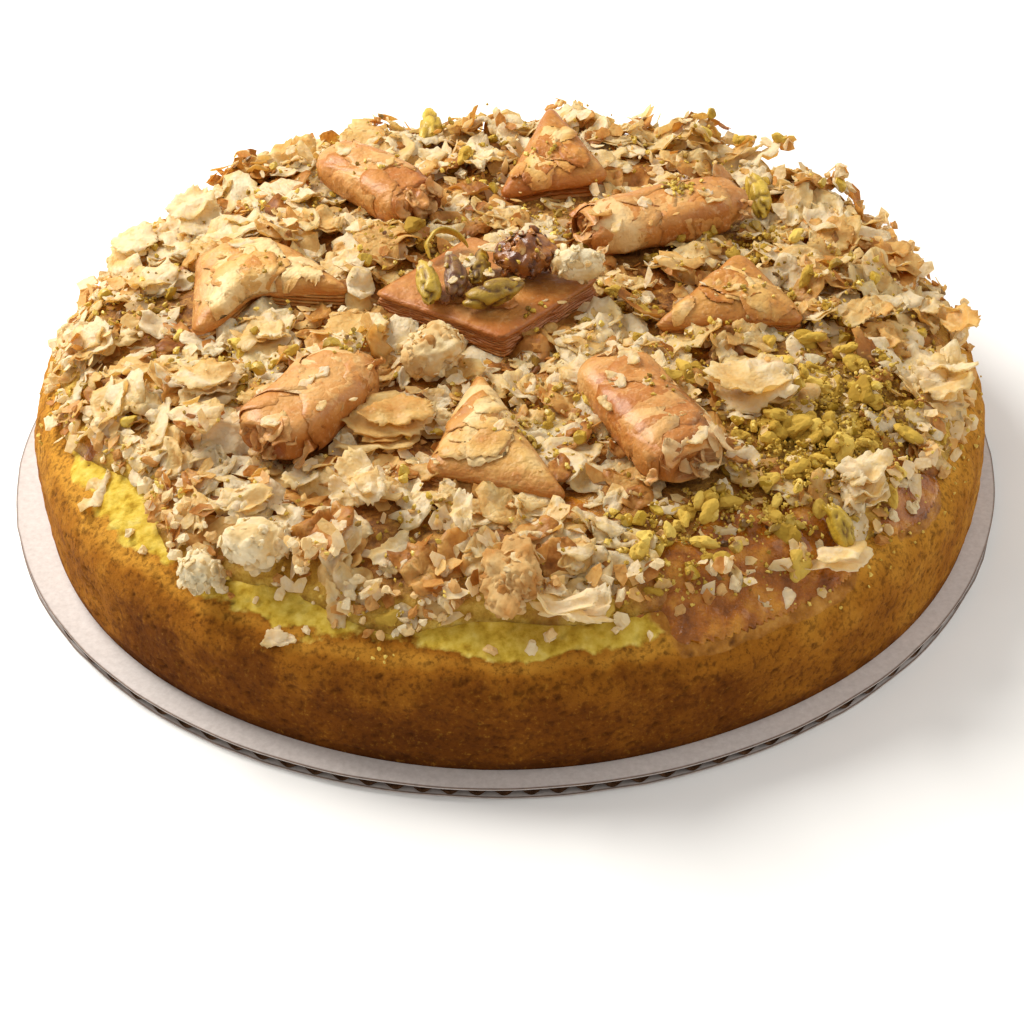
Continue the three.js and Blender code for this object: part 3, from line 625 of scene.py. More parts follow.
class Paint:
    """A procedural material and the nodes it is made of"""

    def __init__(self, name, **constants):
        self.material = bpy.data.materials.new(name)
        self.material.use_nodes = True
        self.tree = self.material.node_tree
        self.shader = self.tree.nodes["Principled BSDF"]
        self.place = self.node("ShaderNodeTexCoord").outputs["Object"]
        for key, value in constants.items():
            self.shader.inputs[key.replace("_", " ")].default_value = value

    def node(self, kind, settings=None, **inputs):
        node = self.tree.nodes.new(kind)
        for key, value in (settings or {}).items():
            setattr(node, key, value)
        for key, value in inputs.items():
            self.feed(node.inputs[key.replace("_", " ")], value)
        return node

    def feed(self, socket, value):
        if isinstance(value, bpy.types.NodeSocket):
            self.tree.links.new(value, socket)
        else:
            socket.default_value = value

    def noise(self, size, detail=3.0, roughness=0.55, stretch=None):
        place = self.place
        if stretch:
            place = self.node("ShaderNodeMapping", Vector=place, Scale=stretch).outputs[0]
        node = self.node("ShaderNodeTexNoise", Vector=place, Scale=1 / (size * METRE),
                         Detail=detail, Roughness=roughness)
        return node.outputs["Fac"]

    def creases(self, size, detail=2.0):
        """Sharp valleys between smooth folds"""
        return self.math("ABSOLUTE", self.math("SUBTRACT", self.noise(size, detail), 0.5), 0.0)

    def grains(self, size):
        node = self.node("ShaderNodeTexVoronoi", {"feature": "SMOOTH_F1"}, Vector=self.place,
                         Scale=1 / (size * METRE))
        return node.outputs["Distance"]

    def attribute(self, name):
        return self.node("ShaderNodeAttribute", {"attribute_name": name}).outputs["Fac"]

    def math(self, operation, first, second, clamp=False):
        node = self.node("ShaderNodeMath", {"operation": operation, "use_clamp": clamp})
        self.feed(node.inputs[0], first)
        self.feed(node.inputs[1], second)
        return node.outputs[0]

    def span(self, value, low, high, to_low=0.0, to_high=1.0):
        node = self.node("ShaderNodeMapRange", Value=value)
        for key, number in (("From Min", low), ("From Max", high), ("To Min", to_low), ("To Max", to_high)):
            node.inputs[key].default_value = number
        return node.outputs[0]

    def patches(self, size, low, high):
        """Noise of that size, spread between two values"""
        return self.span(self.noise(size), 0.3, 0.7, low, high)

    def varied(self, value, size, amount, detail=3.0):
        """The value with noise of that size and amount added"""
        swing = self.math("MULTIPLY", self.math("SUBTRACT", self.noise(size, detail), 0.5), amount)
        return self.math("ADD", value, swing, clamp=True)

    def ramp(self, factor, stops):
        node = self.node("ShaderNodeValToRGB", Fac=factor)
        elements = node.color_ramp.elements
        while len(elements) < len(stops):
            elements.new(0.5)
        for element, (position, colour) in zip(elements, stops):
            element.position = position
            element.color = linear(colour)
        return node.outputs["Color"]

    def mix(self, factor, first, second):
        node = self.node("ShaderNodeMix", {"data_type": "RGBA"})
        self.feed(node.inputs[0], factor)
        self.feed(node.inputs[6], first)
        self.feed(node.inputs[7], second)
        return node.outputs[2]

    def bump(self, height, depth, strength):
        """Relief of that depth in millimetres, added to what is there"""
        before = self.shader.inputs["Normal"].links
        node = self.node("ShaderNodeBump", Height=height, Distance=depth * METRE, Strength=strength)
        if before:
            self.tree.links.new(before[0].from_socket, node.inputs["Normal"])
        self.tree.links.new(node.outputs[0], self.shader.inputs["Normal"])

    def finish(self, colour, roughness):
        self.feed(self.shader.inputs["Base Color"], colour)
        self.feed(self.shader.inputs["Roughness"], roughness)
        return self.material

    def let_light_through(self, colour, warm, share):
        """Lets a share of the light through, in the colour turned half way to a warm one"""
        output = self.tree.nodes["Material Output"]
        through = self.node("ShaderNodeBsdfTranslucent", Color=self.mix(0.5, colour, linear(warm)))
        both = self.node("ShaderNodeMixShader")
        both.inputs[0].default_value = share
        self.tree.links.new(self.shader.outputs[0], both.inputs[1])
        self.tree.links.new(through.outputs[0], both.inputs[2])
        self.tree.links.new(both.outputs[0], output.inputs["Surface"])


PASTRY_TONES = [
    (0.0, (150, 80, 24)), (0.3, (190, 116, 42)), (0.55, (214, 150, 70)), (0.8, (234, 188, 108)),
    (1.0, (248, 220, 160)),
]
GLAZED_TONES = [
    (0.0, (140, 74, 22)), (0.3, (192, 116, 48)), (0.55, (218, 152, 78)), (0.8, (236, 188, 118)),
    (1.0, (248, 220, 164)),
]
GOLDEN = (252, 220, 146)
AMBER_TONES = [(0.3, (132, 80, 20)), (0.5, (176, 116, 42)), (0.7, (208, 152, 72))]
FILO_TONES = [
    (0.0, (150, 88, 30)), (0.2, (200, 134, 58)), (0.42, (228, 178, 96)), (0.65, (242, 210, 136)),
    (0.85, (250, 232, 176)), (1.0, (255, 246, 216)),
]


def filo_paint():
    paint = Paint("filo_look", Coat_Weight=0.14, Coat_Roughness=0.22, Specular_IOR_Level=0.35)
    tone = paint.varied(paint.attribute("tone"), 4.0, 0.45, 4.0)
    tone = paint.varied(tone, 1.0, 0.3)
    colour = paint.ramp(tone, FILO_TONES)
    gilded = paint.span(paint.noise(5.0, 4.0), 0.5, 0.7, 0.0, 0.3)
    colour = paint.mix(gilded, colour, linear((250, 216, 132)))
    toasted = paint.span(paint.noise(3.4, 4.0), 0.62, 0.78, 0.0, 0.4)
    colour = paint.mix(toasted, colour, linear((222, 152, 70)))
    paint.bump(paint.creases(3.0), 1.3, 0.9)
    paint.bump(paint.creases(1.1), 0.4, 0.7)
    paint.let_light_through(colour, GOLDEN, 0.5)
    return paint.finish(colour, paint.patches(2.5, 0.4, 0.7))


def crumb_paint():
    paint = Paint("crumb_look", Specular_IOR_Level=0.2)
    tone = paint.varied(paint.attribute("tone"), 2.4, 0.45, 4.0)
    colour = paint.ramp(tone, [
        (0.0, (156, 96, 38)), (0.25, (208, 150, 80)), (0.5, (234, 194, 128)), (0.75, (246, 222, 166)),
        (1.0, (255, 244, 208)),
    ])
    paint.bump(paint.noise(0.7, 4.0), 0.35, 0.9)
    paint.let_light_through(colour, GOLDEN, 0.35)
    return paint.finish(colour, 0.7)


def pistachio_paint():
    paint = Paint("pistachio_look", Coat_Weight=0.15, Coat_Roughness=0.25, Specular_IOR_Level=0.45)
    tone = paint.varied(paint.attribute("tone"), 2.6, 0.7, 4.0)
    colour = paint.ramp(tone, [
        (0.0, (84, 52, 16)), (0.25, (134, 98, 26)), (0.5, (178, 144, 40)), (0.75, (208, 174, 60)),
        (1.0, (232, 200, 92)),
    ])
    skin = paint.span(paint.varied(paint.attribute("skin"), 2.4, 1.2, 5.0), 0.4, 0.8, 0.0, 0.8)
    colour = paint.mix(skin, colour, linear((112, 66, 46)))
    paint.bump(paint.creases(2.0, 3.0), 0.7, 0.8)
    paint.bump(paint.noise(0.9, 3.0), 0.2, 0.6)
    return paint.finish(colour, paint.patches(2.0, 0.32, 0.6))


def powder_paint():
    paint = Paint("powder_look", Specular_IOR_Level=0.15)
    tone = paint.varied(paint.attribute("tone"), 2.0, 0.4)
    colour = paint.ramp(tone, [
        (0.0, (136, 100, 30)), (0.35, (174, 138, 48)), (0.7, (204, 168, 72)), (1.0, (226, 196, 100)),
    ])
    return paint.finish(colour, 0.75)


def core_paint():
    paint = Paint("heap_core_look", Specular_IOR_Level=0.4)
    # The dark ends of the tan and olive colours are partly the crumbs' own colour and partly painted shade
    # for the gaps between the loose flakes
    mottle = paint.noise(2.2, 5.0, 0.65)
    tan_and_shade = paint.ramp(mottle, [(0.3, (84, 46, 10)), (0.5, (148, 92, 30)), (0.7, (206, 146, 64))])
    olive_and_shade = paint.ramp(mottle, [(0.3, (96, 66, 14)), (0.5, (150, 114, 34)), (0.7, (196, 158, 62))])
    colour = paint.mix(paint.varied(paint.attribute("green"), 7, 0.5), tan_and_shade, olive_and_shade)
    golden = paint.ramp(mottle, [(0.3, (164, 112, 26)), (0.5, (206, 162, 56)), (0.7, (232, 198, 96))])
    colour = paint.mix(paint.varied(paint.attribute("rim"), 4, 0.6), colour, golden)
    wet = paint.attribute("wet")
    amber = paint.ramp(paint.noise(4, 4.0), AMBER_TONES)
    colour = paint.mix(wet, colour, amber)
    paint.bump(paint.noise(1.1, 5.0, 0.65), 0.8, 1.0)
    return paint.finish(colour, paint.span(wet, 0, 1, 0.62, 0.1))


def sponge_paint():
    paint = Paint("sponge_look", Specular_IOR_Level=0.12)
    # The crust value holds the crust's own tone together with painted light and shade on the side
    crust_and_light = paint.varied(paint.attribute("crust_and_light"), 7, 0.3, 5.0)
    side = paint.ramp(crust_and_light, [
        (0.0, (80, 38, 5)), (0.35, (120, 66, 12)), (0.65, (164, 102, 26)), (1.0, (206, 146, 52)),
    ])
    fleck = paint.noise(1.3, 6.0, 0.75)
    # Dark spots of painted shade, standing for small pits
    pit_shade = paint.noise(1.7, 2.5, 0.55)
    side = paint.mix(paint.span(pit_shade, 0.47, 0.34, 0.0, 0.5), side, linear((72, 36, 4)))
    side = paint.mix(paint.span(fleck, 0.48, 0.36, 0.0, 0.6), side, linear((70, 35, 4)))
    side = paint.mix(paint.span(fleck, 0.56, 0.7, 0.0, 0.4), side, linear((200, 142, 48)))
    yellow = paint.ramp(paint.noise(3.0, 5.0), [
        (0.3, (176, 136, 36)), (0.45, (212, 178, 64)), (0.6, (230, 202, 92)), (0.75, (240, 216, 124)),
    ])
    ragged = paint.span(paint.varied(paint.attribute("yellow"), 3.0, 0.7, 5.0), 0.36, 0.6)
    colour = paint.mix(ragged, side, yellow)
    wet = paint.span(paint.varied(paint.attribute("wet"), 3.5, 0.9, 4.0), 0.35, 0.65)
    amber = paint.ramp(paint.noise(4, 4.0), AMBER_TONES)
    colour = paint.mix(wet, colour, amber)
    # Painted shade in the pores
    colour = paint.mix(paint.attribute("pore"), colour, linear((58, 28, 4)))
    paint.bump(paint.noise(0.9, 6.0, 0.7), 0.5, 1.0)
    paint.bump(paint.grains(1.3), 0.3, 0.6)
    return paint.finish(colour, paint.span(wet, 0, 1, 0.95, 0.1))


def glaze_paint():
    paint = Paint("syrup_look", Coat_Weight=0.35, Coat_Roughness=0.03, Specular_IOR_Level=0.2)
    colour = paint.ramp(paint.noise(6, 4.0), [
        (0.3, (112, 58, 4)), (0.5, (162, 92, 16)), (0.7, (206, 140, 44)),
    ])
    paint.bump(paint.noise(1.6, 3.0), 1.2, 1.0)
    return paint.finish(colour, paint.patches(5, 0.1, 0.3))


def card_paint():
    paint = Paint("card_look", Specular_IOR_Level=0.3)
    fibre = paint.noise(1.6, 5.0, 0.7)
    face = paint.ramp(fibre, [(0.3, (206, 198, 194)), (0.7, (226, 219, 216))])
    kraft = paint.ramp(fibre, [(0.3, (70, 44, 26)), (0.7, (118, 82, 52))])
    colour = paint.mix(paint.attribute("kraft"), face, kraft)
    paint.bump(fibre, 0.08, 0.6)
    return paint.finish(colour, 0.7)


def pastry_paint(name, tones, edge_colour, coat):
    paint = Paint(name, Coat_Weight=coat, Coat_Roughness=0.25, Specular_IOR_Level=0.3)
    tone = paint.varied(paint.attribute("tone"), 6, 0.5, 5.0)
    colour = paint.ramp(tone, tones)
    blush = paint.span(paint.noise(5, 4.0), 0.56, 0.74, 0.0, 0.55)
    colour = paint.mix(blush, colour, linear((204, 124, 54)))
    pale = paint.span(paint.noise(1.6, 5.0, 0.7), 0.55, 0.72, 0.0, 0.45)
    colour = paint.mix(pale, colour, linear((246, 220, 168)))
    edge = paint.attribute("edge")
    strand = paint.noise(0.9, 3.0, 0.6, (0.25, 0.25, 2.4))
    colour = paint.mix(paint.math("MULTIPLY", edge, paint.span(strand, 0.36, 0.56, 0.3, 1.0)), colour,
                       linear(edge_colour))
    paint.bump(paint.creases(7.0, 3.0), 2.4, 0.7)
    paint.bump(paint.creases(3.0), 1.0, 0.7)
    paint.bump(paint.creases(1.1, 3.0), 0.4, 0.7)
    paint.let_light_through(colour, (248, 204, 124), 0.2)
    return paint.finish(colour, paint.patches(3, 0.36, 0.6))


def nut_paint():
    paint = Paint("candied_nut_look", Coat_Weight=0.3, Coat_Roughness=0.12, Specular_IOR_Level=0.4)
    tone = paint.varied(paint.attribute("tone"), 3.0, 0.7, 4.0)
    colour = paint.ramp(tone, [
        (0.1, (92, 46, 12)), (0.35, (150, 88, 32)), (0.6, (196, 134, 64)), (0.85, (232, 192, 124)),
    ])
    paint.bump(paint.creases(2.2, 3.0), 1.0, 0.8)
    return paint.finish(colour, paint.patches(2, 0.22, 0.5))


PAINTS = {
    "card": card_paint, "sponge": sponge_paint, "topping": core_paint, "glaze": glaze_paint,
    "filo": filo_paint, "crumb": crumb_paint, "pistachio": pistachio_paint, "powder": powder_paint,
    "candied_nut": nut_paint,
    "pastry": lambda: pastry_paint("pastry_look", PASTRY_TONES, (186, 102, 34), 0.16),
    "glazed_pastry": lambda: pastry_paint("glazed_pastry_look", GLAZED_TONES, (176, 96, 34), 0.3),
}


# Card round

def card_piece():
    """Two sheets of paper with flutes between them"""
    batch = Batch()
    angle = round_steps(CARD_SIDES)
    for level, low in enumerate((0.0, CARD_THICKNESS - LINER)):
        high = low + LINER
        ragged = CARD_RADIUS - 0.35 * np.abs(noise(on_plane(angle * 60, level * 9.0), 6, 40 + level))
        profile = [(ragged - 5, low, 0), (ragged, low, 0), (ragged, high, 1), (ragged - 0.5, high, 0.1),
                   (ragged - 5, high, 0)]
        rows = [np.stack([radius * np.cos(angle), radius * np.sin(angle), np.full(CARD_SIDES, z)], -1)
                for radius, z, brown in profile]
        rows += [np.array([[0, 0, low]]), np.array([[0, 0, high]])]
        kraft = np.append(np.repeat([brown for radius, z, brown in profile], CARD_SIDES), [0, 0])
        batch.add(np.concatenate(rows), capped_faces(len(profile), CARD_SIDES), kraft=kraft)
    fluted = np.linspace(-CARD_RADIUS + 0.7, CARD_RADIUS - 0.7, FLUTE_STEPS)
    reach = np.sqrt((CARD_RADIUS - 0.6) ** 2 - fluted ** 2)
    middle = CARD_THICKNESS / 2
    swing = (middle - LINER - FLUTE_HALF) * np.sin(TURN * fluted / FLUTE_LENGTH)
    sheets = [np.stack([fluted, end * reach, middle + swing + side], -1)
              for side in (-FLUTE_HALF, FLUTE_HALF) for end in (-1, 1)]
    rows = lattice_faces(4, FLUTE_STEPS, wrap=False).reshape(3, -1, 4)
    batch.add(np.concatenate(sheets), [rows[0], rows[2][:, ::-1]], kraft=1.0)
    place_batch(batch, "card", "card", "card_round", smooth=False)


# Sponge

def sponge_rows():
    """Share of the radius and height, from the foot upwards and over the shoulder"""
    side = np.linspace(CARD_THICKNESS, SPONGE_SIDE_TOP, SIDE_ROWS, endpoint=False)
    foot = SPONGE_FOOT_INSET / SPONGE_RADIUS
    shares = [1 - foot * (1 - smoothstep(z, CARD_THICKNESS, CARD_THICKNESS + 5)) for z in side]
    fine = np.linspace(0, math.pi / 2, 4000)
    share = np.cos(fine) ** (2 / SHOULDER_POWER)
    height = SPONGE_SIDE_TOP + (SPONGE_CROWN - SPONGE_SIDE_TOP) * np.sin(fine) ** (2 / DOME_POWER)
    travel = np.concatenate([[0], np.cumsum(np.hypot(np.diff(share) * SPONGE_RADIUS, np.diff(height)))])
    inner = np.searchsorted(-share, -0.8)
    along = np.linspace(0, travel[inner], SHOULDER_ROWS)
    shoulder = zip(np.interp(along, travel, share), np.interp(along, travel, height))
    return np.array([*zip(shares, side), *shoulder])


def sponge_piece():
    rows = sponge_rows()
    angle = round_steps(SPONGE_COLUMNS)
    radius = sponge_radius(angle)[None] * rows[:, :1]
    x = radius * np.cos(angle)
    y = radius * np.sin(angle)
    z = np.broadcast_to(rows[:, 1:], x.shape)
    points = np.stack([x, y, z], -1)
    step_up = np.gradient(points, axis=0)
    step_round = np.roll(points, -1, 1) - np.roll(points, 1, 1)
    outward = unit(np.cross(step_round, step_up))
    free = smoothstep(z, CARD_THICKNESS, CARD_THICKNESS + 2)
    front, left, right = (facing(angle, middle)[None] for middle in (FRONT_ANGLE, LIT_LEFT_ANGLE, LIT_RIGHT_ANGLE))
    pitted = np.minimum(cells(points, 2.3, 3), 0.25 + cells(points, 1.35, 17))
    chosen = smoothstep(noise(points, 6, 9) + 0.5 * front, -0.15, 0.5)
    pore = (1 - smoothstep(pitted, 0.1, 0.34)) * chosen
    relief = 0.45 * noise(points, 16, 1) + 0.3 * noise(points, 4.5, 2) + 0.22 * noise(points, 1.8, 3)
    relief = relief - 0.62 * pore - 0.25
    points = points + outward * (relief * free)[..., None]
    crumb = noise(points, 6, 21) + 0.6 * noise(points, 2.6, 24)
    bare = 0
    for middle, half_width, depth in BARE_BITES:
        half = math.radians(half_width)
        bare = np.maximum(bare, 1 - smoothstep(angle_off(angle, middle), half * 0.8, half * 1.5))
    yellow = smoothstep(z + 1.2 * crumb, *YELLOW_HEIGHTS) * np.maximum(bare, 0.5 * front)
    syrup = gathered(SYRUP_PLACES, x + CAKE_X, y + CAKE_Y) * smoothstep(z, *SYRUP_HEIGHTS)
    syrup = smoothstep(syrup + 0.15 * crumb, 0.3, 0.7)
    # Painted highlight: a brighter band along the shoulder, where it turns towards the light
    line = np.exp(-((z + 0.8 * crumb - SHOULDER_HIGHLIGHT_HEIGHT) / 1.6) ** 2)
    # Crust tone with painted light and shade: lighter on the lit left and right sides, darker at the shaded
    # heading; also lighter higher up the side and darker at the foot
    shaded = np.exp(-((angle[None] - math.radians(SHADED_ANGLE)) / 0.26) ** 2)
    crust_and_light = 0.24 + 0.42 * left ** 1.5 + 0.5 * right ** 1.4 - 0.2 * shaded
    crust_and_light = crust_and_light + 0.13 * noise(points, 12, 22) + 0.12 * noise(points, 4, 23)
    crust_and_light = crust_and_light + 0.42 * line + 0.16 * smoothstep(z, 16, 27) - 0.2 * (1 - smoothstep(z, 3.4, 7.5))
    tips = np.array([[0, 0, CARD_THICKNESS], [0, 0, SPONGE_CROWN]])
    points = np.concatenate([points.reshape(-1, 3), tips]) + np.array([CAKE_X, CAKE_Y, 0])
    # The pore value darkens the dented pores with painted shade
    marks = dict(crust_and_light=np.clip(crust_and_light, 0, 1), yellow=yellow, wet=syrup, pore=0.62 * pore * (1 - 0.7 * yellow))
    batch = Batch()
    batch.add(points, capped_faces(len(rows), SPONGE_COLUMNS),
              **{key: np.append(value, [0, 0]) for key, value in marks.items()})
    place_batch(batch, "sponge", "sponge", "sponge_cake")


def core_piece():
    """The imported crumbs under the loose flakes"""
    angle = round_steps(HEAP_CORE_SIDES)
    share = np.linspace(1, 0, HEAP_CORE_RINGS, endpoint=False)[:, None]
    radius = heap_radius(angle)[None] * share
    x = CAKE_X + radius * np.cos(angle)
    y = CAKE_Y + radius * np.sin(angle)
    z = core_top(x, y)
    z[0] = bare_top(x[0], y[0]) - 0.4
    grain = 0.45 * noise(np.stack([x, y, z], -1), 2.6, 31) + 0.3 * noise(np.stack([x, y, z], -1), 1.5, 32)
    z[1:] += grain[1:]
    points = np.stack([x, y, z], -1).reshape(-1, 3)
    tips = np.array([[CAKE_X, CAKE_Y, core_top(CAKE_X, CAKE_Y)], [CAKE_X, CAKE_Y, SPONGE_CROWN - 1]])
    count = len(points)
    faces = [
        lattice_faces(HEAP_CORE_RINGS, HEAP_CORE_SIDES),
        fan_faces(count - HEAP_CORE_SIDES, HEAP_CORE_SIDES, count),
        fan_faces(0, HEAP_CORE_SIDES, count + 1)[:, ::-1],
    ]
    syrup = smoothstep(gathered(SYRUP_PLACES, x, y), 0.3, 0.6)
    gloss = 0.7 * smoothstep(noise(on_plane(x, y), 9, 33), 0.25, 0.6)
    rim = np.repeat(smoothstep(share[:, 0], 0.9, 0.97), HEAP_CORE_SIDES)
    green = np.append(gathered(GREEN_PLACES, x, y), [0.4, 0.4])
    wet = np.append(np.maximum(syrup, gloss), [0, 0])
    batch = Batch()
    batch.add(np.concatenate([points, tips]), faces, green=green, wet=wet, rim=np.append(rim, [0, 0]))
    place_batch(batch, "heap_core", "topping", "topping_heap")


def glaze_piece(field):
    """A glossy sheet of syrup over the edge of the heap and the sponge beside it"""
    axis = np.arange(-GLAZE_REACH, GLAZE_REACH + 2, GLAZE_STEP)
    x, y = np.meshgrid(axis, axis, indexing="ij")
    angle, radius = around(x, y)
    wet = gathered(SYRUP_PLACES, x, y) + 0.3 * noise(on_plane(x, y), 7, 44)
    wet = wet - smoothstep(radius - sponge_radius(angle), -6, -2)
    ground = field.at(x, y)
    for turn in range(3):
        sides = sum(np.roll(ground, step, axis) for axis in (0, 1) for step in (1, -1))
        ground = 0.5 * ground + 0.125 * sides
    uneven = 0.5 * noise(on_plane(x, y), 3.5, 45)
    lift = (GLAZE_RISE + uneven) * smoothstep(wet, *GLAZE_WET) - GLAZE_SINK
    count = x.size
    index = np.arange(count).reshape(x.shape)
    corners = [index[:-1, :-1], index[1:, :-1], index[1:, 1:], index[:-1, 1:]]
    full = np.all([wet.ravel()[corner] > GLAZE_EDGE for corner in corners], axis=0)
    around_it = np.pad(full, 1)
    beside = [around_it[1:-1, :-2], around_it[2:, 1:-1], around_it[1:-1, 2:], around_it[:-2, 1:-1]]
    upper = np.stack([corner[full] for corner in corners], -1)
    quads = [upper, upper[:, ::-1] + count]
    for side in range(4):
        rim = full & ~beside[side]
        start = corners[side][rim]
        end = corners[(side + 1) % 4][rim]
        quads.append(np.stack([start + count, end + count, end, start], -1))
    quads = np.concatenate(quads)
    used, quads = np.unique(quads, return_inverse=True)
    top = np.stack([x, y, ground + lift], -1).reshape(-1, 3)
    bottom = np.stack([x, y, ground - GLAZE_DEPTH], -1).reshape(-1, 3)
    points = np.concatenate([top, bottom])[used]
    quads = quads.reshape(-1, 4)
    batch = Batch()
    batch.add(points, [quads[:, [0, 1, 2]], quads[:, [0, 2, 3]]])
    place_batch(batch, "syrup_glaze", "topping", look="glaze")


# Leaves of filo

@functools.lru_cache(maxsize=None)
def leaf_faces(sides, rings):
    """Faces of a leaf with two skins of a centre and rings each, joined round the rim"""
    here = np.arange(sides)
    beside = (here + 1) % sides
    per_skin = 1 + sides * rings
    fan = np.stack([np.zeros(sides, int), 1 + here, 1 + beside], 1)
    triangles = np.concatenate([fan, fan[:, ::-1] + per_skin])
    quads = []
    for ring in range(rings - 1):
        low = 1 + ring * sides
        high = low + sides
        quad = np.stack([low + here, high + here, high + beside, low + beside], 1)
        quads += [quad, quad[:, ::-1] + per_skin]
    rim = 1 + (rings - 1) * sides
    quads.append(np.stack([rim + here, rim + per_skin + here, rim + per_skin + beside, rim + beside], 1))
    return triangles, np.concatenate(quads)


def torn_reach(angle, corners, ragged):
    """Reach of a torn outline with nearly straight sides, at each angle"""
    turn = TURN * (np.arange(corners) + rng.uniform(-0.28, 0.28, corners)) / corners + rng.uniform(0, TURN)
    turn = np.sort(turn % TURN)
    far = 1 - ragged * rng.random(corners)
    after = np.searchsorted(turn, angle % TURN) % corners
    before = (after - 1) % corners
    span = (turn[after] - turn[before]) % TURN
    into = (angle - turn[before]) % TURN
    spread = far[before] * np.sin(into) + far[after] * np.sin(span - into)
    return far[before] * far[after] * np.sin(span) / np.maximum(spread, 0.05)


def leaf_points(length, width, thickness, curl, ragged, crumple, sides, rings):
    """A torn curled leaf in the XY plane: points of the upper skin, then the lower, shade, faces"""
    angle = TURN * (np.arange(sides) + rng.uniform(-0.3, 0.3, sides)) / sides
    if sides > 8:
        reach = torn_reach(angle, rng.integers(4, 8), ragged)
        for turn in range(max(1, sides // 16)):
            reach = 0.5 * reach + 0.25 * (np.roll(reach, 1) + np.roll(reach, -1))
        reach = reach * (1 + np.clip(rng.normal(0, 0.05, sides), -0.16, 0.08))
    else:
        reach = 1 - ragged * rng.random(sides)
    share = np.linspace(0, 1, rings + 1)[1:, None] ** 0.8
    u = np.concatenate([[0], (share * reach * np.cos(angle)).ravel()])
    v = np.concatenate([[0], (share * reach * np.sin(angle)).ravel()])
    bend = curl * (u * u - 0.3) + rng.uniform(-0.6, 0.6) * curl * u * v
    shade = np.zeros(len(u))
    if rings > 1:
        start = rng.uniform(0, 500, 2)
        folds = 1 - 2 * np.abs(noise(on_plane(1.5 * u + start[0], 0.8 * v + start[1]), 0.6, 81))
        ruffles = noise(on_plane(u + start[1], v + start[0]), 0.26, 82)
        bend = bend + crumple * (folds + 0.7 * ruffles * (0.4 + u * u + v * v))
        shade = 0.22 * noise(on_plane(u + start[0], v - start[1]), 0.8, 83) + 0.06 * folds
        shade = shade - 0.16 * rng.random() * (u * u + v * v)
    x = 0.5 * length * u
    y = 0.5 * width * v
    outer = np.maximum(0.3, 1 - 0.7 * (u * u + v * v))
    upper = np.stack([x, y, bend + 0.5 * thickness * outer], -1)
    lower = np.stack([x, y, bend - 0.5 * thickness * outer], -1)
    return np.concatenate([upper, lower]), np.tile(shade, 2), leaf_faces(sides, rings)


class Field:
    """Height of everything that lies on the cake, on a square grid, with the places of the large pieces"""

    CELL = 0.5
    HALF = 131.0

    def __init__(self):
        axis = np.arange(-self.HALF, self.HALF, self.CELL) + self.CELL / 2
        self.x, self.y = np.meshgrid(axis, axis, indexing="ij")
        angle, radius = around(self.x, self.y)
        inside = radius < heap_radius(angle)
        cake = radius < sponge_radius(angle)
        ground = np.where(cake, bare_top(self.x, self.y), CARD_THICKNESS)
        self.height = np.where(inside, core_top(self.x, self.y), ground)
        self.taken = np.zeros(self.x.shape, bool)
        self.tops = np.full(self.x.shape, -1.0)

    def index(self, value):
        cell = np.floor((np.asarray(value) + self.HALF) / self.CELL).astype(int)
        return np.clip(cell, 0, self.x.shape[0] - 1)

    def at(self, x, y):
        return self.height[self.index(x), self.index(y)]

    def patch(self, x, y, reach):
        low_x, high_x = self.index([x - reach, x + reach])
        low_y, high_y = self.index([y - reach, y + reach])
        return slice(low_x, high_x + 1), slice(low_y, high_y + 1)

    def slope(self, x, y, reach):
        across = (self.at(x + reach, y) - self.at(x - reach, y)) / (2 * reach)
        along = (self.at(x, y + reach) - self.at(x, y - reach)) / (2 * reach)
        return across, along

    def is_taken(self, points):
        return self.taken[self.index(points[:, 0]), self.index(points[:, 1])]

    def settle(self, points, reach=1):
        """Raises the heights of the tops to the points of a large piece"""
        rows = self.index(points[:, 0])
        columns = self.index(points[:, 1])
        for step in np.ndindex(2 * reach + 1, 2 * reach + 1):
            place = (rows + step[0] - reach, columns + step[1] - reach)
            np.maximum.at(self.tops, place, points[:, 2])

    def claim(self, outline):
        """Marks the place of a large piece, given its outline from above"""
        low = outline.min(0)
        high = outline.max(0)
        rows = slice(*self.index([low[0], high[0] + 1]))
        columns = slice(*self.index([low[1], high[1] + 1]))
        x = self.x[rows, columns]
        y = self.y[rows, columns]
        inside = np.zeros(x.shape, bool)
        for (ax, ay), (bx, by) in zip(outline, np.roll(outline, -1, 0)):
            crosses = (ay > y) != (by > y)
            inside ^= crosses & (x < (bx - ax) * (y - ay) / (by - ay + 1e-12) + ax)
        self.taken[rows, columns] |= inside

    def spread(self, x, y, half_length, half_width, heading, top, lean):
        """Raises the heights under a flat thing that leans by the two slopes"""
        rows, columns = self.patch(x, y, max(half_length, half_width))
        dx = self.x[rows, columns] - x
        dy = self.y[rows, columns] - y
        along = (dx * math.cos(heading) + dy * math.sin(heading)) / half_length
        across = (dy * math.cos(heading) - dx * math.sin(heading)) / half_width
        covered = along ** 2 + across ** 2 < 0.75
        level = top + lean[0] * dx + lean[1] * dy
        for heights in (self.height, self.tops):
            before = heights[rows, columns]
            heights[rows, columns] = np.where(covered & (before > 0), np.maximum(before, level), before)


def slope_turn(across, along):
    """Rotation that lays the Z axis square to a slope"""
    normal = np.array([-across, -along, 1.0])
    normal /= np.linalg.norm(normal)
    side = np.cross([0, 1.0, 0], normal)
    side /= np.linalg.norm(side)
    return np.stack([side, np.cross(normal, side), normal], 1)


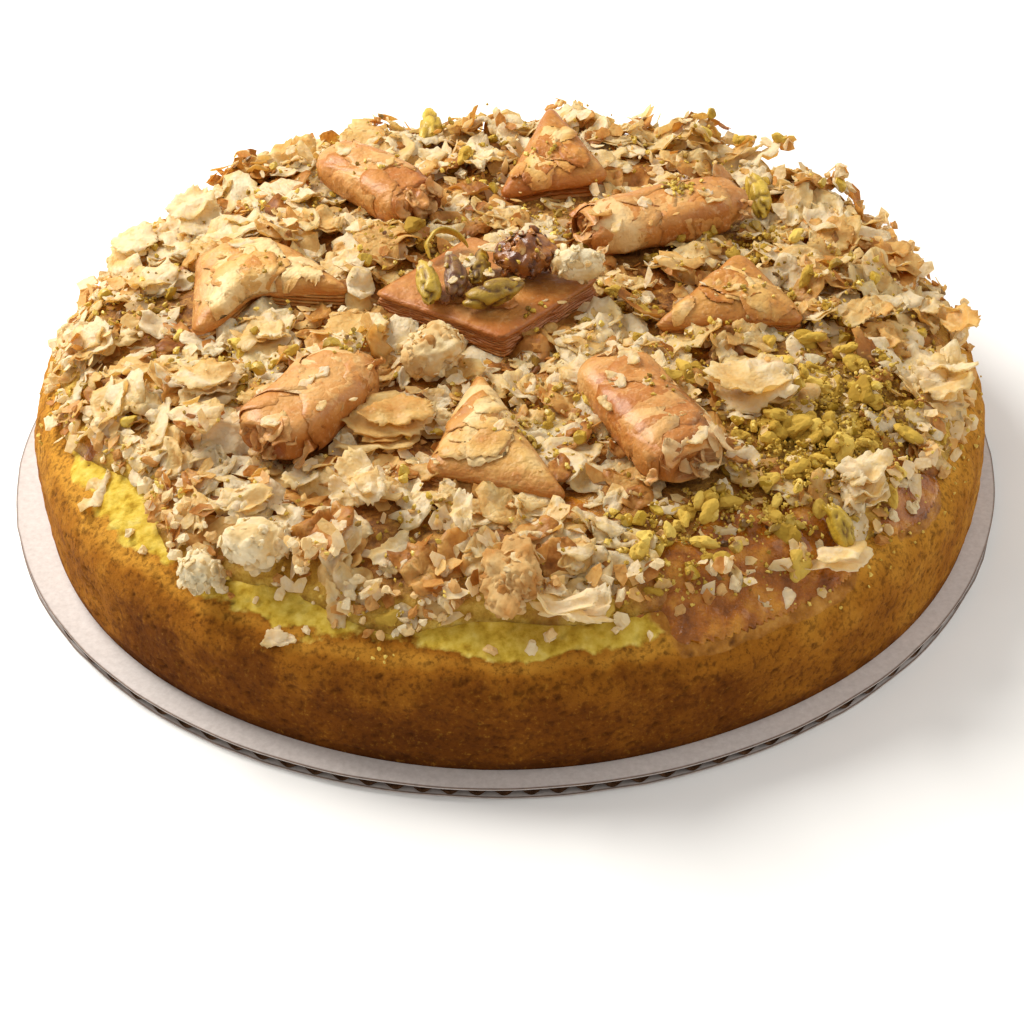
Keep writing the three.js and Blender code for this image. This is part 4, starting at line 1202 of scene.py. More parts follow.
class Scatter:
    """Lays loose things on the field one after another"""

    def __init__(self, field):
        self.field = field

    def spot(self, margin, outside=0.0):
        """A place inside the heap's outline, kept clear of it by the margin"""
        while True:
            x, y = rng.uniform(-SPOT_REACH, SPOT_REACH, 2)
            angle, radius = around(x, y)
            if radius < heap_radius(angle) - margin + outside * rng.random() ** 2:
                return x, y

    def lay_leaf(self, batch, x, y, length, width, tone, *, heading=None, tilt=0.3, curl=0.08, ragged=0.4,
                 crumple=0.03, thickness=0.3, sides=6, rings=1, layers=1, on_pieces=False):
        """Lays a leaf where it comes to rest, unless a large piece is in its way"""
        field = self.field
        if heading is None:
            heading = rng.uniform(0, TURN)
        points, shade, faces = leaf_points(length, width, thickness, curl * length, ragged,
                                           crumple * length, sides, rings)
        across, along = (0.0, 0.0) if on_pieces else field.slope(x, y, 0.35 * length)
        base = slope_turn(*np.clip([across, along], -LEAF_STEEPEST, LEAF_STEEPEST))
        turn = base @ turned(heading, rng.normal(0, tilt), rng.normal(0, tilt))
        points = points @ turn.T
        points[:, :2] += (x, y)
        half = len(points) // 2
        if on_pieces:
            place = (field.index(points[:half, 0]), field.index(points[:half, 1]))
            ground = np.maximum(field.height[place], field.tops[place])
        else:
            if field.is_taken(points[:half]).mean() > LEAF_OVER_PIECE:
                return False
            ground = field.at(points[:half, 0], points[:half, 1])
        gaps = np.sort(ground - points[half:, 2])
        rise = gaps[int(LEAF_REST * half)] - LEAF_SINK
        points[:, 2] += rise
        batch.add(points, faces, tone=np.clip(tone + shade, 0, 1))
        middle = points[0]
        for layer in range(1, layers):
            shift = turn @ (*rng.normal(0, 0.05, 2) * length, (thickness + LEAF_GAP) * layer)
            upper = middle + (points - middle) * (1 - 0.2 * layer) + shift
            batch.add(upper, faces, tone=np.clip(tone + shade + 0.07 * layer, 0, 1))
        lean = -turn[:2, 2] / max(turn[2, 2], 0.4)
        centre = points[0, 2]
        field.spread(x, y, 0.5 * length, 0.5 * width, heading, centre, np.clip(lean, -0.8, 0.8))
        return True

    def lay_grain(self, batch, x, y, size, tone, shape, *, rough=0.05, flat=0.75, sink=0.3, on_pieces=False,
                  **values):
        """Lays a crumb or a nut bit where it comes to rest"""
        field = self.field
        row = field.index(x)
        column = field.index(y)
        ground = field.height[row, column]
        if field.taken[row, column]:
            if not on_pieces:
                return False
            ground = max(ground, field.tops[row, column])
        ball, triangles = shape
        swell = 1 + rough * rng.normal(0, 0.6, len(ball)).clip(-1, 1)[:, None]
        scale = 0.5 * size * np.array([1, rng.uniform(0.6, 0.95), rng.uniform(0.9, 1.1) * flat])
        points = ball * swell * scale
        across, along = (0.0, 0.0) if field.taken[row, column] else field.slope(x, y, 1.5)
        base = slope_turn(*np.clip([across, along], -1, 1))
        points = points @ (base @ turned(rng.uniform(0, TURN), rng.normal(0, 0.3), rng.normal(0, 0.3))).T
        rise = ground + (0.5 - sink) * size * flat
        points += (x, y, rise)
        batch.add(points, [triangles], tone=tone, **values)
        if not field.taken[row, column] and size > 0.9:
            field.spread(x, y, 0.5 * size, 0.45 * size, 0.0, rise + 0.3 * size * flat, (0, 0))
        return True


# Whole baklava pieces

def rounded_outline(corners, count, rounding):
    """Points spaced evenly round a polygon with rounded corners"""
    corners = np.array(corners, float)[:, :2]
    points = []
    for before, here, after in zip(np.roll(corners, 1, 0), corners, np.roll(corners, -1, 0)):
        enter = here + (before - here) * rounding / np.linalg.norm(before - here)
        leave = here + (after - here) * rounding / np.linalg.norm(after - here)
        for t in np.linspace(0, 1, 10):
            points.append((1 - t) ** 2 * enter + 2 * t * (1 - t) * here + t * t * leave)
    points = np.array(points)
    closed = np.concatenate([points, points[:1]])
    travel = np.concatenate([[0], np.cumsum(np.linalg.norm(np.diff(closed, axis=0), axis=1))])
    along = np.linspace(0, travel[-1], count, endpoint=False)
    return np.stack([np.interp(along, travel, closed[:, k]) for k in (0, 1)], -1)


def plane_heights(corners):
    a, b, c = (np.array(corner, float) for corner in corners[:3])
    normal = np.cross(b - a, c - a)

    def top_at(x, y):
        return a[2] - (normal[0] * (x - a[0]) + normal[1] * (y - a[1])) / normal[2]

    return top_at


def slab_piece(name, field, corners, dome, layers, tone, sheets, cave, rounding=4.2, slot="pastry"):
    """A stack of thin sheets of pastry with ragged edges and a blistered top"""
    outline = rounded_outline(corners, SLAB_COLUMNS, rounding)
    middle = np.array(corners, float)[:, :2].mean(0)
    top_at = plane_heights(corners)
    seed = int(abs(middle[0]) * 7 + abs(middle[1]) * 3)
    foot = node_box(name)[0][2]
    sheet = 0.6 * (np.mean([corner[2] for corner in corners]) - foot) / layers
    away = unit(outline - middle)
    front = smoothstep(-away[:, 1], 0.25, 0.9)
    batch = Batch()
    for layer in range(layers):
        level = (layer + 0.15) / layers
        ragged = 0.6 * noise_at(outline, layer * 3.7, 4, seed)
        ragged += 0.5 * noise_at(outline, layer * 5.1, 1.4, seed + 5)
        torn = np.maximum(0, noise_at(outline, layer * 1.3, 8, seed + 9) - 0.2)
        hollow = cave * front * max(0.0, math.sin(math.pi * min(1.0, (1 - level) / 0.8))) ** 0.7
        inset = 0.5 - ragged + 3.2 * torn * level + hollow + 1.5 * level ** 2
        rim = outline - away * inset[:, None]
        inner = rim - away * 3.4
        wave = 0.5 * noise_at(rim, layer * 2.1, 9, seed + 2)
        rows = []
        for place, side in ((inner, 0), (rim, 0), (rim, 1), (inner, 1)):
            ceiling = top_at(place[:, 0], place[:, 1]) - 0.6
            base = foot + (ceiling - foot) * level + wave * (0.3 + level)
            rows.append(np.column_stack([place, base + side * sheet]))
        shade = np.clip(tone - 0.1 + rng.normal(0, 0.1), 0, 1)
        batch.add(np.concatenate(rows), [lattice_faces(4, SLAB_COLUMNS)], tone=shade,
                  edge=np.repeat([0.6, 1.0, 0.6, 0.3], SLAB_COLUMNS))
    add_slab_top(batch, outline, middle, top_at, dome, tone, seed)
    for loose in range(sheets):
        add_slab_leaf(batch, outline, middle, top_at, dome, tone, seed)
    field.claim(outline)
    field.settle(np.concatenate(batch.points))
    dress_node(batch, name, slot)


def slab_rise(x, y, share, dome, seed):
    """Height over the plane of the corners: a puffed, blistered and creased top that drops at its edge"""
    flat = on_plane(x, y)
    creased = 1 - np.abs(noise(flat, 8, seed)) * 2
    blisters = 0.5 * noise(flat, 11, seed + 1) + 0.4 * creased + 0.28 * noise(flat, 3.4, seed + 2)
    blisters = blisters + 0.12 * noise(flat, 1.5, seed + 4)
    puffed = (0.35 + 0.65 * min(dome, 2) / 2) * blisters
    return dome * (1 - share ** 2.5) + puffed * (1 - 0.4 * share ** 4) - 0.9 * dome ** 0.5 * share ** 7


def add_slab_top(batch, outline, middle, top_at, dome, tone, seed):
    count = len(outline)
    rings = SLAB_RINGS
    share = np.linspace(1, 0.04, rings)[:, None]
    place = middle + (outline - middle) * (share * 0.985)[..., None]
    x = place[..., 0]
    y = place[..., 1]
    z = top_at(x, y) + slab_rise(x, y, share, dome, seed)
    points = np.stack([x, y, z], -1).reshape(-1, 3)
    tip = np.array([[*middle, z[-1].mean()]])
    skirt = np.column_stack([middle + (outline - middle) * 0.96, z[0] - 1.0])
    points = np.concatenate([skirt, points, tip])
    faces = [lattice_faces(rings + 1, count), fan_faces(rings * count, count, (rings + 1) * count)]
    edge = np.concatenate([np.full(count, 0.8), np.repeat(0.8 * np.linspace(1, 0, rings) ** 4, count), [0]])
    shade = tone + 0.2 * noise(points, 9, seed + 3) - 0.2 * smoothstep(-(points[:, 1] - middle[1]), 4, 22)
    batch.add(points, faces, tone=np.clip(shade, 0, 1), edge=edge)


def add_slab_leaf(batch, outline, middle, top_at, dome, tone, seed):
    """A torn sheet that clings to the top and lifts at its edge"""
    spot = outline[rng.integers(len(outline))]
    spot = middle + (spot - middle) * rng.uniform(0, 0.72)
    length = rng.uniform(0.25, 0.62) * np.ptp(outline, axis=0).max()
    width = length * rng.uniform(0.5, 0.8)
    points, shade, faces = leaf_points(length, width, 0.26, 0.5, 0.4, 0.35, 36, 4)
    points = points @ turned(rng.uniform(0, TURN)).T
    flat = points[:, :2] + spot
    off = flat - middle
    angle = np.arctan2(off[:, 1], off[:, 0])
    edge_angle = np.arctan2(*(outline - middle).T[::-1])
    order = np.argsort(edge_angle)
    reach = np.interp(angle, edge_angle[order], np.linalg.norm(outline - middle, axis=1)[order], period=TURN)
    share = np.linalg.norm(off, axis=1) / reach
    pull = np.minimum(1, 1.02 / np.maximum(share, 1e-6))[:, None]
    flat = middle + off * pull
    share = np.minimum(share, 1.02)
    lift = 0.3 + rng.uniform(0, 0.5) + 0.5 * np.maximum(0, points[:, 2])
    z = top_at(flat[:, 0], flat[:, 1]) + slab_rise(flat[:, 0], flat[:, 1], share, dome, seed) + lift
    own = tone + rng.normal(0.0, 0.13) + shade - 0.15 * smoothstep(middle[1] - flat[:, 1], 4, 22)
    batch.add(np.column_stack([flat, z]), faces, tone=np.clip(own, 0, 1), edge=0.25 * share ** 4)


def roll_surface(along, phase, size, seed):
    """Points on the outside of a barrel with a flat foot and narrowed ends, for shares along it and phases"""
    length, width, height = size
    along, phase = np.broadcast_arrays(along, phase)
    swell = 1 - 0.3 * np.clip(np.abs(2 * along), 0, 1.15) ** 6 + 0.03 * np.sin(8 * along + seed)
    rise = np.sin(phase)
    rise = np.where(rise < 0, -np.abs(rise) ** 0.45, np.abs(rise) ** 0.75)
    across = np.sign(np.cos(phase)) * np.abs(np.cos(phase)) ** 0.8
    points = np.stack([length * along, 0.5 * width * swell * across, 0.5 * height * swell * rise], -1)
    lumps = 0.9 * noise(points * (0.6, 1, 1), 8, seed) + 0.4 * noise(points * (0.5, 1, 1), 3.4, seed + 1)
    lumps = lumps + 0.14 * noise(points, 1.6, seed + 2)
    outward = points * (0, 1, 1)
    outward = outward / np.maximum(np.linalg.norm(outward, axis=-1, keepdims=True), 1e-6)
    return points, outward, lumps


def add_roll_leaf(batch, size, seed, lift, tone, pale):
    """A torn sheet that clings to the roll, part of the way round it"""
    length = size[0]
    girth = 0.5 * TURN * 0.5 * (size[1] + size[2])
    long = length * rng.uniform(0.5, 1.1)
    wide = girth * rng.uniform(0.35, 0.7)
    points, shade, faces = leaf_points(long, wide, 0.22, 0.3, 0.42, 0.3, 40, 5)
    along = points[:, 0] / length + rng.uniform(-0.32, 0.32)
    phase = TURN * points[:, 1] / girth + rng.uniform(-0.3, math.pi + 0.3)
    along = np.clip(along, -0.54, 0.54)
    spot, outward, lumps = roll_surface(along, phase, size, seed)
    rim = smoothstep(np.hypot(points[:, 0] / long, points[:, 1] / wide), 0.36, 0.5)
    height = lumps + lift + points[:, 2] + 0.5 * rim * rng.random() ** 2
    own = np.clip(tone + shade + 0.2 * np.cos(phase - pale), 0, 1)
    batch.add(spot + outward * height[:, None], faces, tone=own, edge=0.3 * rim)


def add_end_leaf(batch, size, end, tone):
    """A small crumpled leaf over one end of the roll"""
    long = rng.uniform(5, 11)
    points, shade, faces = leaf_points(long, 0.7 * long, 0.26, 0.8, 0.42, 0.8, 20, 3)
    lean = rng.uniform(0.3, 1.2) * end
    points = points @ turned(rng.normal(0, 0.5), lean, rng.normal(0, 0.4)).T
    across = rng.normal(0, 0.22) * size[1]
    up = rng.uniform(-0.3, 0.4) * size[2]
    points += (end * (0.5 * size[0] - 2.5 * rng.random()), across, up)
    batch.add(points, faces, tone=np.clip(tone + shade, 0, 1), edge=0.1)


def roll_piece(name, field, at, heading, size, tone, pale):
    length, width = size[:2]
    seed = int(abs(at[0]) + 3 * abs(at[1]))
    batch = Batch()
    along = np.concatenate([np.full(4, -0.5), np.linspace(-0.5, 0.5, ROLL_ROWS), np.full(4, 0.5)])[:, None]
    narrow = [0.05, 0.35, 0.62, 0.86]
    close = np.concatenate([narrow, np.ones(ROLL_ROWS), narrow[::-1]])[:, None, None]
    phase = round_steps(ROLL_COLUMNS)[None]
    points, outward, lumps = roll_surface(along, phase, size, seed)
    body = (points + outward * lumps[..., None]) * np.concatenate([np.ones_like(close), close, close], -1)
    hollow = (1 - close[..., 0]) ** 0.5 * 2.4
    crumbs = 0.9 * noise(body, 2.2, seed + 7) * (close[..., 0] < 1)
    body[..., 0] -= np.sign(along) * (hollow + crumbs)
    ends = np.array([[-0.5 * length + 2.6, 0, 0], [0.5 * length - 2.6, 0, 0]])
    flat = np.concatenate([body.reshape(-1, 3), ends])
    paleness = 0.2 * np.cos(np.broadcast_to(phase, body.shape[:2]) - math.radians(pale))
    inside = (close[..., 0] < 0.9) * 0.75 * np.ones((1, ROLL_COLUMNS))
    shade = tone - 0.04 + np.append(paleness, [0, 0]) + 0.12 * noise(flat, 8, seed + 3)
    batch.add(flat, capped_faces(len(along), ROLL_COLUMNS), tone=np.clip(shade, 0, 1),
              edge=np.append(inside, [0.8, 0.8]))
    for order in range(ROLL_LEAVES):
        own = tone + rng.uniform(-0.12, 0.14)
        add_roll_leaf(batch, size, seed, 0.08 + 0.05 * order, own, math.radians(pale))
    for end in (-1, 1):
        for leaf in range(ROLL_END_LEAVES):
            add_end_leaf(batch, size, end, tone + rng.uniform(0.05, 0.35))
    turn = turned(math.radians(heading))
    points = np.concatenate(batch.points) @ turn.T
    points += fitted_shift(points, name)
    batch.points = [points]
    outline = np.array([(-1, -1), (1, -1), (1, 1), (-1, 1)]) * (0.45 * length, 0.42 * width)
    field.claim(outline @ turn[:2, :2].T + at)
    field.settle(points)
    dress_node(batch, name, "glazed_pastry")


def fitted_shift(points, node):
    """Move that sets points over the middle of a node's box, with their lowest point on its floor"""
    low, high = node_box(node)
    middle = 0.5 * (low + high) - 0.5 * (points.min(0) + points.max(0))
    return np.array([middle[0], middle[1], low[2] - points[:, 2].min()])


def fitted_points(points, node):
    """Points stretched and moved so that they fill the box of a node"""
    low, high = node_box(node)
    own_low = points.min(0)
    return low + (points - own_low) * (high - low) / (points.max(0) - own_low)


def claim_round(field, node, share):
    """Marks the middle of a node's place, as an oval over a share of its box"""
    low, high = node_box(node)
    angle = round_steps(20)
    middle = 0.5 * (low + high)
    reach = 0.5 * share * (high - low)
    outline = np.stack([middle[0] + reach[0] * np.cos(angle), middle[1] + reach[1] * np.sin(angle)], -1)
    field.claim(outline)


def kernel_piece(name, field, heading, tilt, tone, skin):
    """A whole pistachio, wrinkled and grooved"""
    along = np.linspace(0.004, 0.996, KERNEL_ROWS)[:, None]
    angle = round_steps(KERNEL_COLUMNS)
    swell = 0.5 * np.sin(math.pi * along ** 0.85) ** 0.62
    groove = 1 - 0.2 * np.maximum(0, np.cos(angle)) ** 8 - 0.1 * np.maximum(0, -np.sin(angle - 0.5)) ** 20
    y = KERNEL_WIDTH * swell * groove * np.cos(angle) + 4.4 * (along - 0.5) ** 2
    z = KERNEL_HEIGHT * swell * groove * np.sin(angle)
    x = (along - 0.5) * KERNEL_LENGTH * np.ones_like(y)
    points = np.stack([x, y, z], -1)
    seed = int(heading + 10 * tone)
    folds = 1 - 2 * np.abs(noise(points * (0.3, 1, 1), 1.6, seed))
    wrinkle = 0.5 * noise(points * (0.6, 1, 1), 4, seed + 1) - 0.7 * smoothstep(folds, 0.2, 1.0)
    wrinkle = wrinkle + 0.15 * noise(points, 1.1, seed + 2)
    points *= (1 + wrinkle / 3.2)[..., None]
    tips = np.array([[-8.05, 1.1, 0], [8.05, 1.1, 0]])
    points = np.concatenate([points.reshape(-1, 3), tips])
    points = fitted_points(points @ turned(math.radians(heading), math.radians(-tilt)).T, name)
    purple = skin + 0.25 * smoothstep(np.linspace(0, 1, KERNEL_ROWS), 0.75, 1)
    purple = np.append(np.repeat(purple, KERNEL_COLUMNS), [skin, skin])
    # Darker in the grooves: painted shade
    groove_shaded_tone = np.append(tone - 0.38 * smoothstep(folds, 0.5, 0.95), [tone, tone])
    batch = Batch()
    batch.add(points, capped_faces(KERNEL_ROWS, KERNEL_COLUMNS), tone=np.clip(groove_shaded_tone, 0, 1), skin=purple)
    claim_round(field, name, 0.8)
    field.settle(points)
    dress_node(batch, name, "pistachio")


def slice_piece(name, field):
    """A thin crescent of pistachio standing on its edge"""
    along = (np.arange(SLICE_ROWS)[:, None] + 0.5) / SLICE_ROWS
    angle = (along - 0.5) * 2 * SLICE_HALF_ANGLE
    turn = round_steps(SLICE_COLUMNS)
    swell = 1.2 * np.sin(math.pi * along) ** 0.5
    reach = SLICE_RADIUS + 0.5 * swell * np.sin(turn) + 0.3 * noise(on_plane(along * 9, turn * 0), 1.0, 77)
    points = np.stack([reach * np.cos(angle), reach * np.sin(angle), 1.5 * swell * np.cos(turn)], -1)
    end_x = SLICE_RADIUS * math.cos(SLICE_HALF_ANGLE)
    end_y = SLICE_RADIUS * math.sin(SLICE_HALF_ANGLE)
    tips = np.array([[end_x, -end_y, 0], [end_x, end_y, 0]])
    points = np.concatenate([points.reshape(-1, 3), tips]) @ turned(math.radians(120), math.radians(-38)).T
    batch = Batch()
    batch.add(fitted_points(points, name), capped_faces(SLICE_ROWS, SLICE_COLUMNS), tone=0.62, skin=0.05)
    claim_round(field, name, 0.5)
    dress_node(batch, name, "pistachio")


def add_stuck_bits(batch, points, tone):
    """Grains and small leaves stuck all over a lump"""
    middle = points.mean(0)
    for bit in range(STUCK_BITS):
        spot = points[rng.integers(len(points))]
        place = middle + 0.93 * (spot - middle)
        if bit % 2 == 0:
            size = rng.uniform(2.5, 6.5)
            leaf, shade, faces = leaf_points(size, 0.7 * size, 0.3, 0.4, 0.45, 0.45, 12, 2)
            away = (spot - middle) / np.linalg.norm(spot - middle)
            turn = slope_turn(*(-away[:2] / max(away[2], 0.45)))
            leaf = leaf @ (turn @ turned(rng.uniform(0, TURN), rng.normal(0, 0.3))).T
            own = np.clip(shade_near(tone + 0.08, 0.16) + shade, 0, 1)
            batch.add(leaf + place + 0.4 * away, faces, tone=own)
        else:
            ball, triangles = crumb_shape(0)
            size = rng.uniform(1.0, 3.0)
            batch.add(0.5 * size * ball + place, [triangles], tone=shade_near(tone, 0.12))


def lump_piece(name, field, grain, relief, tone, slot="crumb"):
    low, high = node_box(name)
    ball, triangles = sphere(4)
    points = ball * (high - low) / 2
    seed = int(abs(low[0]) * 3 + abs(low[1]))
    crumbs = domes(points, grain, seed)
    fine = domes(points, 0.36 * grain, seed + 8)
    rise = relief * (1.6 * crumbs + 0.7 * fine + 2.6 * noise(points, 1.3 * grain, seed + 4))
    rise = rise + 0.8 * relief * noise(points, 0.3 * grain, seed + 5)
    points = fitted_points(points * (1 + rise)[:, None], name)
    # Darker between the crumbs: painted shade in the gaps between them
    shade = tone + 0.3 * noise(points, 4.5, seed) - 0.5 * smoothstep(0.75 - crumbs, 0, 0.5)
    batch = Batch()
    batch.add(points, [triangles], tone=np.clip(shade, 0, 1))
    add_stuck_bits(batch, points, tone)
    claim_round(field, name, 0.8)
    field.settle(points)
    dress_node(batch, name, slot)


def shard_leaf(make, length, share):
    """One leaf of a node: crumpled at random in a rose, laid on the last one in a stack or a sheet"""
    if make == "rose":
        size = length * rng.uniform(0.45, 0.85)
        width = size * rng.uniform(0.55, 0.85)
        points, shade, faces = leaf_points(size, width, 0.32, 0.09 * size, 0.42, 0.07 * size, 60, 5)
        points = points @ turned(rng.uniform(0, TURN), *rng.normal(0, 0.3, 2)).T
        points += (*rng.normal(0, 0.13, 2) * length, 4.5 * share)
    else:
        size = length * (1 - 0.25 * share) * rng.uniform(0.85, 1.05)
        width = size * rng.uniform(0.5, 0.75)
        points, shade, faces = leaf_points(size, width, 0.3, 0.07 * size, 0.36, 0.05 * size, 60, 5)
        points = points @ turned(rng.normal(0, 0.35), *rng.normal(0, 0.09, 2)).T
        points += (rng.normal(0, 1.3), rng.normal(0, 1.3), 3.6 * share)
    return points, shade, faces


def shard_piece(name, field, make, heading, leaves, tone):
    """Several torn leaves that fill the node's box"""
    low, high = node_box(name)
    length = max(high[:2] - low[:2])
    parts = [shard_leaf(make, length, leaf / max(leaves - 1, 1)) for leaf in range(leaves)]
    joined = np.concatenate([points for points, shade, faces in parts])
    joined = fitted_points(joined @ turned(math.radians(heading)).T, name)
    batch = Batch()
    first = 0
    for points, shade, faces in parts:
        own = np.clip(tone + rng.normal(0, 0.07) + shade, 0, 1)
        batch.add(joined[first:first + len(points)], faces, tone=own)
        first += len(points)
    claim_round(field, name, 0.5)
    field.settle(joined, 2)
    dress_node(batch, name, "filo")


# Loose things on the heap

def strewn(scatter, count, margin, outside, keep, lay):
    """Lays a number of things at places that pass the keep test"""
    laid = 0
    while laid < count:
        x, y = scatter.spot(margin, outside)
        if rng.random() < keep(x, y) and lay(x, y):
            laid += 1


def on_green(power=1):
    """Share to keep at a place, more where it is green"""
    def keep(x, y):
        return (0.1 + 0.9 * gathered(GREEN_PLACES, x, y)) ** power
    return keep


def off_green(share):
    """Share to keep at a place, less where it is green and where syrup lies"""
    def keep(x, y):
        return (1 - share * gathered(GREEN_PLACES, x, y)) * (1 - 0.85 * gathered(SYRUP_PLACES, x, y))
    return keep


def lay_chopped(scatter, batch, low, high, level):
    def lay(x, y):
        size = rng.uniform(low, high)
        tone = shade_near(0.62, 0.22)
        return scatter.lay_grain(batch, x, y, size, tone, nut_shape(level), skin=shade_near(0.12, 0.3))
    return lay


def lay_powder(scatter, batch):
    def lay(x, y):
        size = rng.uniform(0.7, 1.6)
        return scatter.lay_grain(batch, x, y, size, shade_near(0.55, 0.25), sphere(-1), rough=0.3)
    return lay


def lay_clump(scatter, batch):
    def lay(x, y):
        shape = clump_ball(2, int(rng.integers(KINDS_OF_CLUMP)))
        size = rng.uniform(3, 6)
        return scatter.lay_grain(batch, x, y, size, shade_near(0.6, 0.2), shape, flat=0.6, sink=0.4)
    return lay


def lay_crumb(scatter, batch, low, high, level):
    def lay(x, y):
        size = rng.uniform(low, high)
        return scatter.lay_grain(batch, x, y, size, flake_tone(x, y) + 0.03, crumb_shape(level))
    return lay


def lay_flake(scatter, batch, kind):
    """Lays leaves of one kind, some of them double"""
    def lay(x, y):
        length = rng.uniform(*kind["length"])
        width = length * rng.uniform(*kind["width"])
        tone = flake_tone(x, y) + kind["paler"]
        layers = 1 + int(kind["double"] > 0 and rng.random() < kind["double"])
        return scatter.lay_leaf(batch, x, y, length, width, tone, layers=layers, **kind["look"])
    return lay


def flake_tone(x, y):
    """Tone of a flake: browned, palest, or by the place it lies at, paler in the pale places partly as
    painted light
    """
    pale = gathered(PALE_AND_LIT_PLACES, x, y)
    draw = rng.random()
    if draw < BROWNED_BELOW:
        return shade_near(0.24, 0.1)
    if draw > PALEST_ABOVE:
        return shade_near(0.97, 0.04)
    return shade_near(0.68 + 0.17 * pale, 0.2)


def scatter_nuts(scatter, nuts, powder, share):
    """A share of the chopped pistachio, of the clumps of its powder and of the powder"""
    for count, low, high, outside, level in NUTS:
        lay = lay_chopped(scatter, nuts, low, high, level)
        strewn(scatter, int(count * share), 1.0, outside, on_green(), lay)
    strewn(scatter, int(NUT_CLUMPS * share), 0.5, 3.0, on_green(2), lay_clump(scatter, powder))
    strewn(scatter, int(POWDER_GRAINS * share), 0.5, 3.0, on_green(1.6), lay_powder(scatter, powder))


def scatter_crumbs(scatter, batch):
    for count, low, high, level in CRUMBS:
        strewn(scatter, count, 0.25 * high, 3.0, off_green(0.7), lay_crumb(scatter, batch, low, high, level))


def lay_shard(scatter, batch, x, y, length, heading, tone):
    """A torn sheet of filo, of one or two leaves"""
    for leaf in range(rng.integers(1, 3)):
        place = (x + rng.normal(0, 1.2), y + rng.normal(0, 1.2))
        width = length * rng.uniform(0.6, 0.85)
        own = float(np.clip(tone + rng.normal(0, 0.06), 0, 1))
        turn = math.radians(heading) + rng.normal(0, 0.25)
        scatter.lay_leaf(batch, *place, 1.15 * length * (1 - 0.14 * leaf), width, own, heading=turn,
                         tilt=0.12, curl=0.07, crumple=0.06, thickness=0.34, sides=40, rings=4)


def scatter_layer(scatter, batches, kind, count, margin, outside, off):
    """A number of leaves of one kind, with less where it is green"""
    lay = lay_flake(scatter, batches[kind], LEAVES[kind])
    strewn(scatter, count, margin, outside, off_green(off), lay)


def scatter_flakes(scatter):
    """Small flakes first, mid-sized and large ones over them, and a few small ones on top"""
    batches = {kind: Batch() for kind in LEAVES}
    for layer in FLAKES:
        scatter_layer(scatter, batches, *layer)
    for shard in EXTRA_SHARDS:
        lay_shard(scatter, batches["large"], *shard)
    dress_back(scatter, batches["middling"])
    place_batch(batches["middling"], "filo_flakes", "filo")
    place_batch(batches["large"], "filo_shards", "filo")
    scatter_layer(scatter, batches, *TOP_FLAKES)
    return batches["small"]


def in_bite(angle):
    """Whether an angle lies where the topping leaves the sponge bare"""
    return any(angle_off(angle, middle) < 1.2 * math.radians(half) for middle, half, depth in BARE_BITES)


def rim_place(inner, outer):
    """A place near the edge of the heap, in from it or beyond it"""
    while True:
        angle = rng.uniform(0, TURN)
        beyond = -inner + (inner + outer) * rng.random() ** 1.3
        if beyond < 1 or not in_bite(angle):
            radius = min(heap_radius(angle) + beyond, sponge_radius(angle) - 1.5)
            return CAKE_X + radius * math.cos(angle), CAKE_Y + radius * math.sin(angle)


def dress_rim(scatter, crumbs, small, powder):
    """Crumbs and flakes along the edge of the heap, some of them fallen over the shoulder"""
    for grain in range(RIM_CRUMBS):
        x, y = rim_place(5, 3.5)
        scatter.lay_grain(crumbs, x, y, rng.uniform(1.6, 5.5), flake_tone(x, y), crumb_shape(1))
    for flake in range(RIM_FLAKES):
        x, y = rim_place(6, 3)
        length = rng.uniform(3, 9)
        width = length * rng.uniform(0.5, 0.8)
        scatter.lay_leaf(small, x, y, length, width, flake_tone(x, y), curl=0.06, ragged=0.5)
    for grain in range(FRONT_CRUMBS):
        heading, reach = rng.uniform(*FRONT_CRUMB_HEADINGS), rng.uniform(*FRONT_CRUMB_REACH)
        x, y = reach * math.cos(heading), reach * math.sin(heading)
        scatter.lay_grain(crumbs, x, y, rng.uniform(1.8, 4.8), flake_tone(x, y), crumb_shape(1))
    for grain in range(RIM_DUST):
        x, y = rim_place(3, 7)
        if y < 0:
            scatter.lay_grain(powder, x, y, rng.uniform(0.6, 1.9), shade_near(0.8, 0.2), crumb_shape(0))


def dress_back(scatter, batch):
    """Leaves that stand up along the far edge of the heap"""
    for leaf in range(BACK_LEAVES):
        x = rng.uniform(-BACK_HALF_WIDTH, BACK_HALF_WIDTH)
        y = rng.uniform(0.82, 0.97) * math.sqrt(BACK_RADIUS ** 2 - x * x)
        length = rng.uniform(10, 18)
        scatter.lay_leaf(batch, x, y, length, 0.7 * length, flake_tone(x, y), curl=0.1, ragged=0.42,
                         crumple=0.07, thickness=0.34, sides=18, rings=3)


def dress_pieces(scatter, nuts):
    """Flakes and green bits on the whole pieces, and a little dust of filo over all of them"""
    flakes = Batch()
    for x, y, length, heading, tone in PIECE_FLAKES:
        scatter.lay_leaf(flakes, x, y, length, 0.65 * length, tone, heading=math.radians(heading),
                         tilt=0.12, crumple=0.05, thickness=0.4, sides=26, rings=3, on_pieces=True)
    for mark in range(PIECE_DUST):
        x, y = scatter.spot(16)
        size = rng.uniform(1.2, 3.4)
        scatter.lay_leaf(flakes, x, y, size, 0.6 * size, shade_near(0.8, 0.15), tilt=0.2, curl=0.06,
                         on_pieces=True)
    for x, y, spread, count in PIECE_GREENS:
        for bit in range(count):
            place = (x + rng.normal(0, 0.6 * spread), y + rng.normal(0, 0.5 * spread))
            size = rng.uniform(0.9, 2.4)
            scatter.lay_grain(nuts, *place, size, shade_near(0.65, 0.2), nut_shape(0), on_pieces=True,
                              skin=shade_near(0.1, 0.25))
    place_batch(flakes, "filo_on_pieces", "filo")


# Floor, light and camera

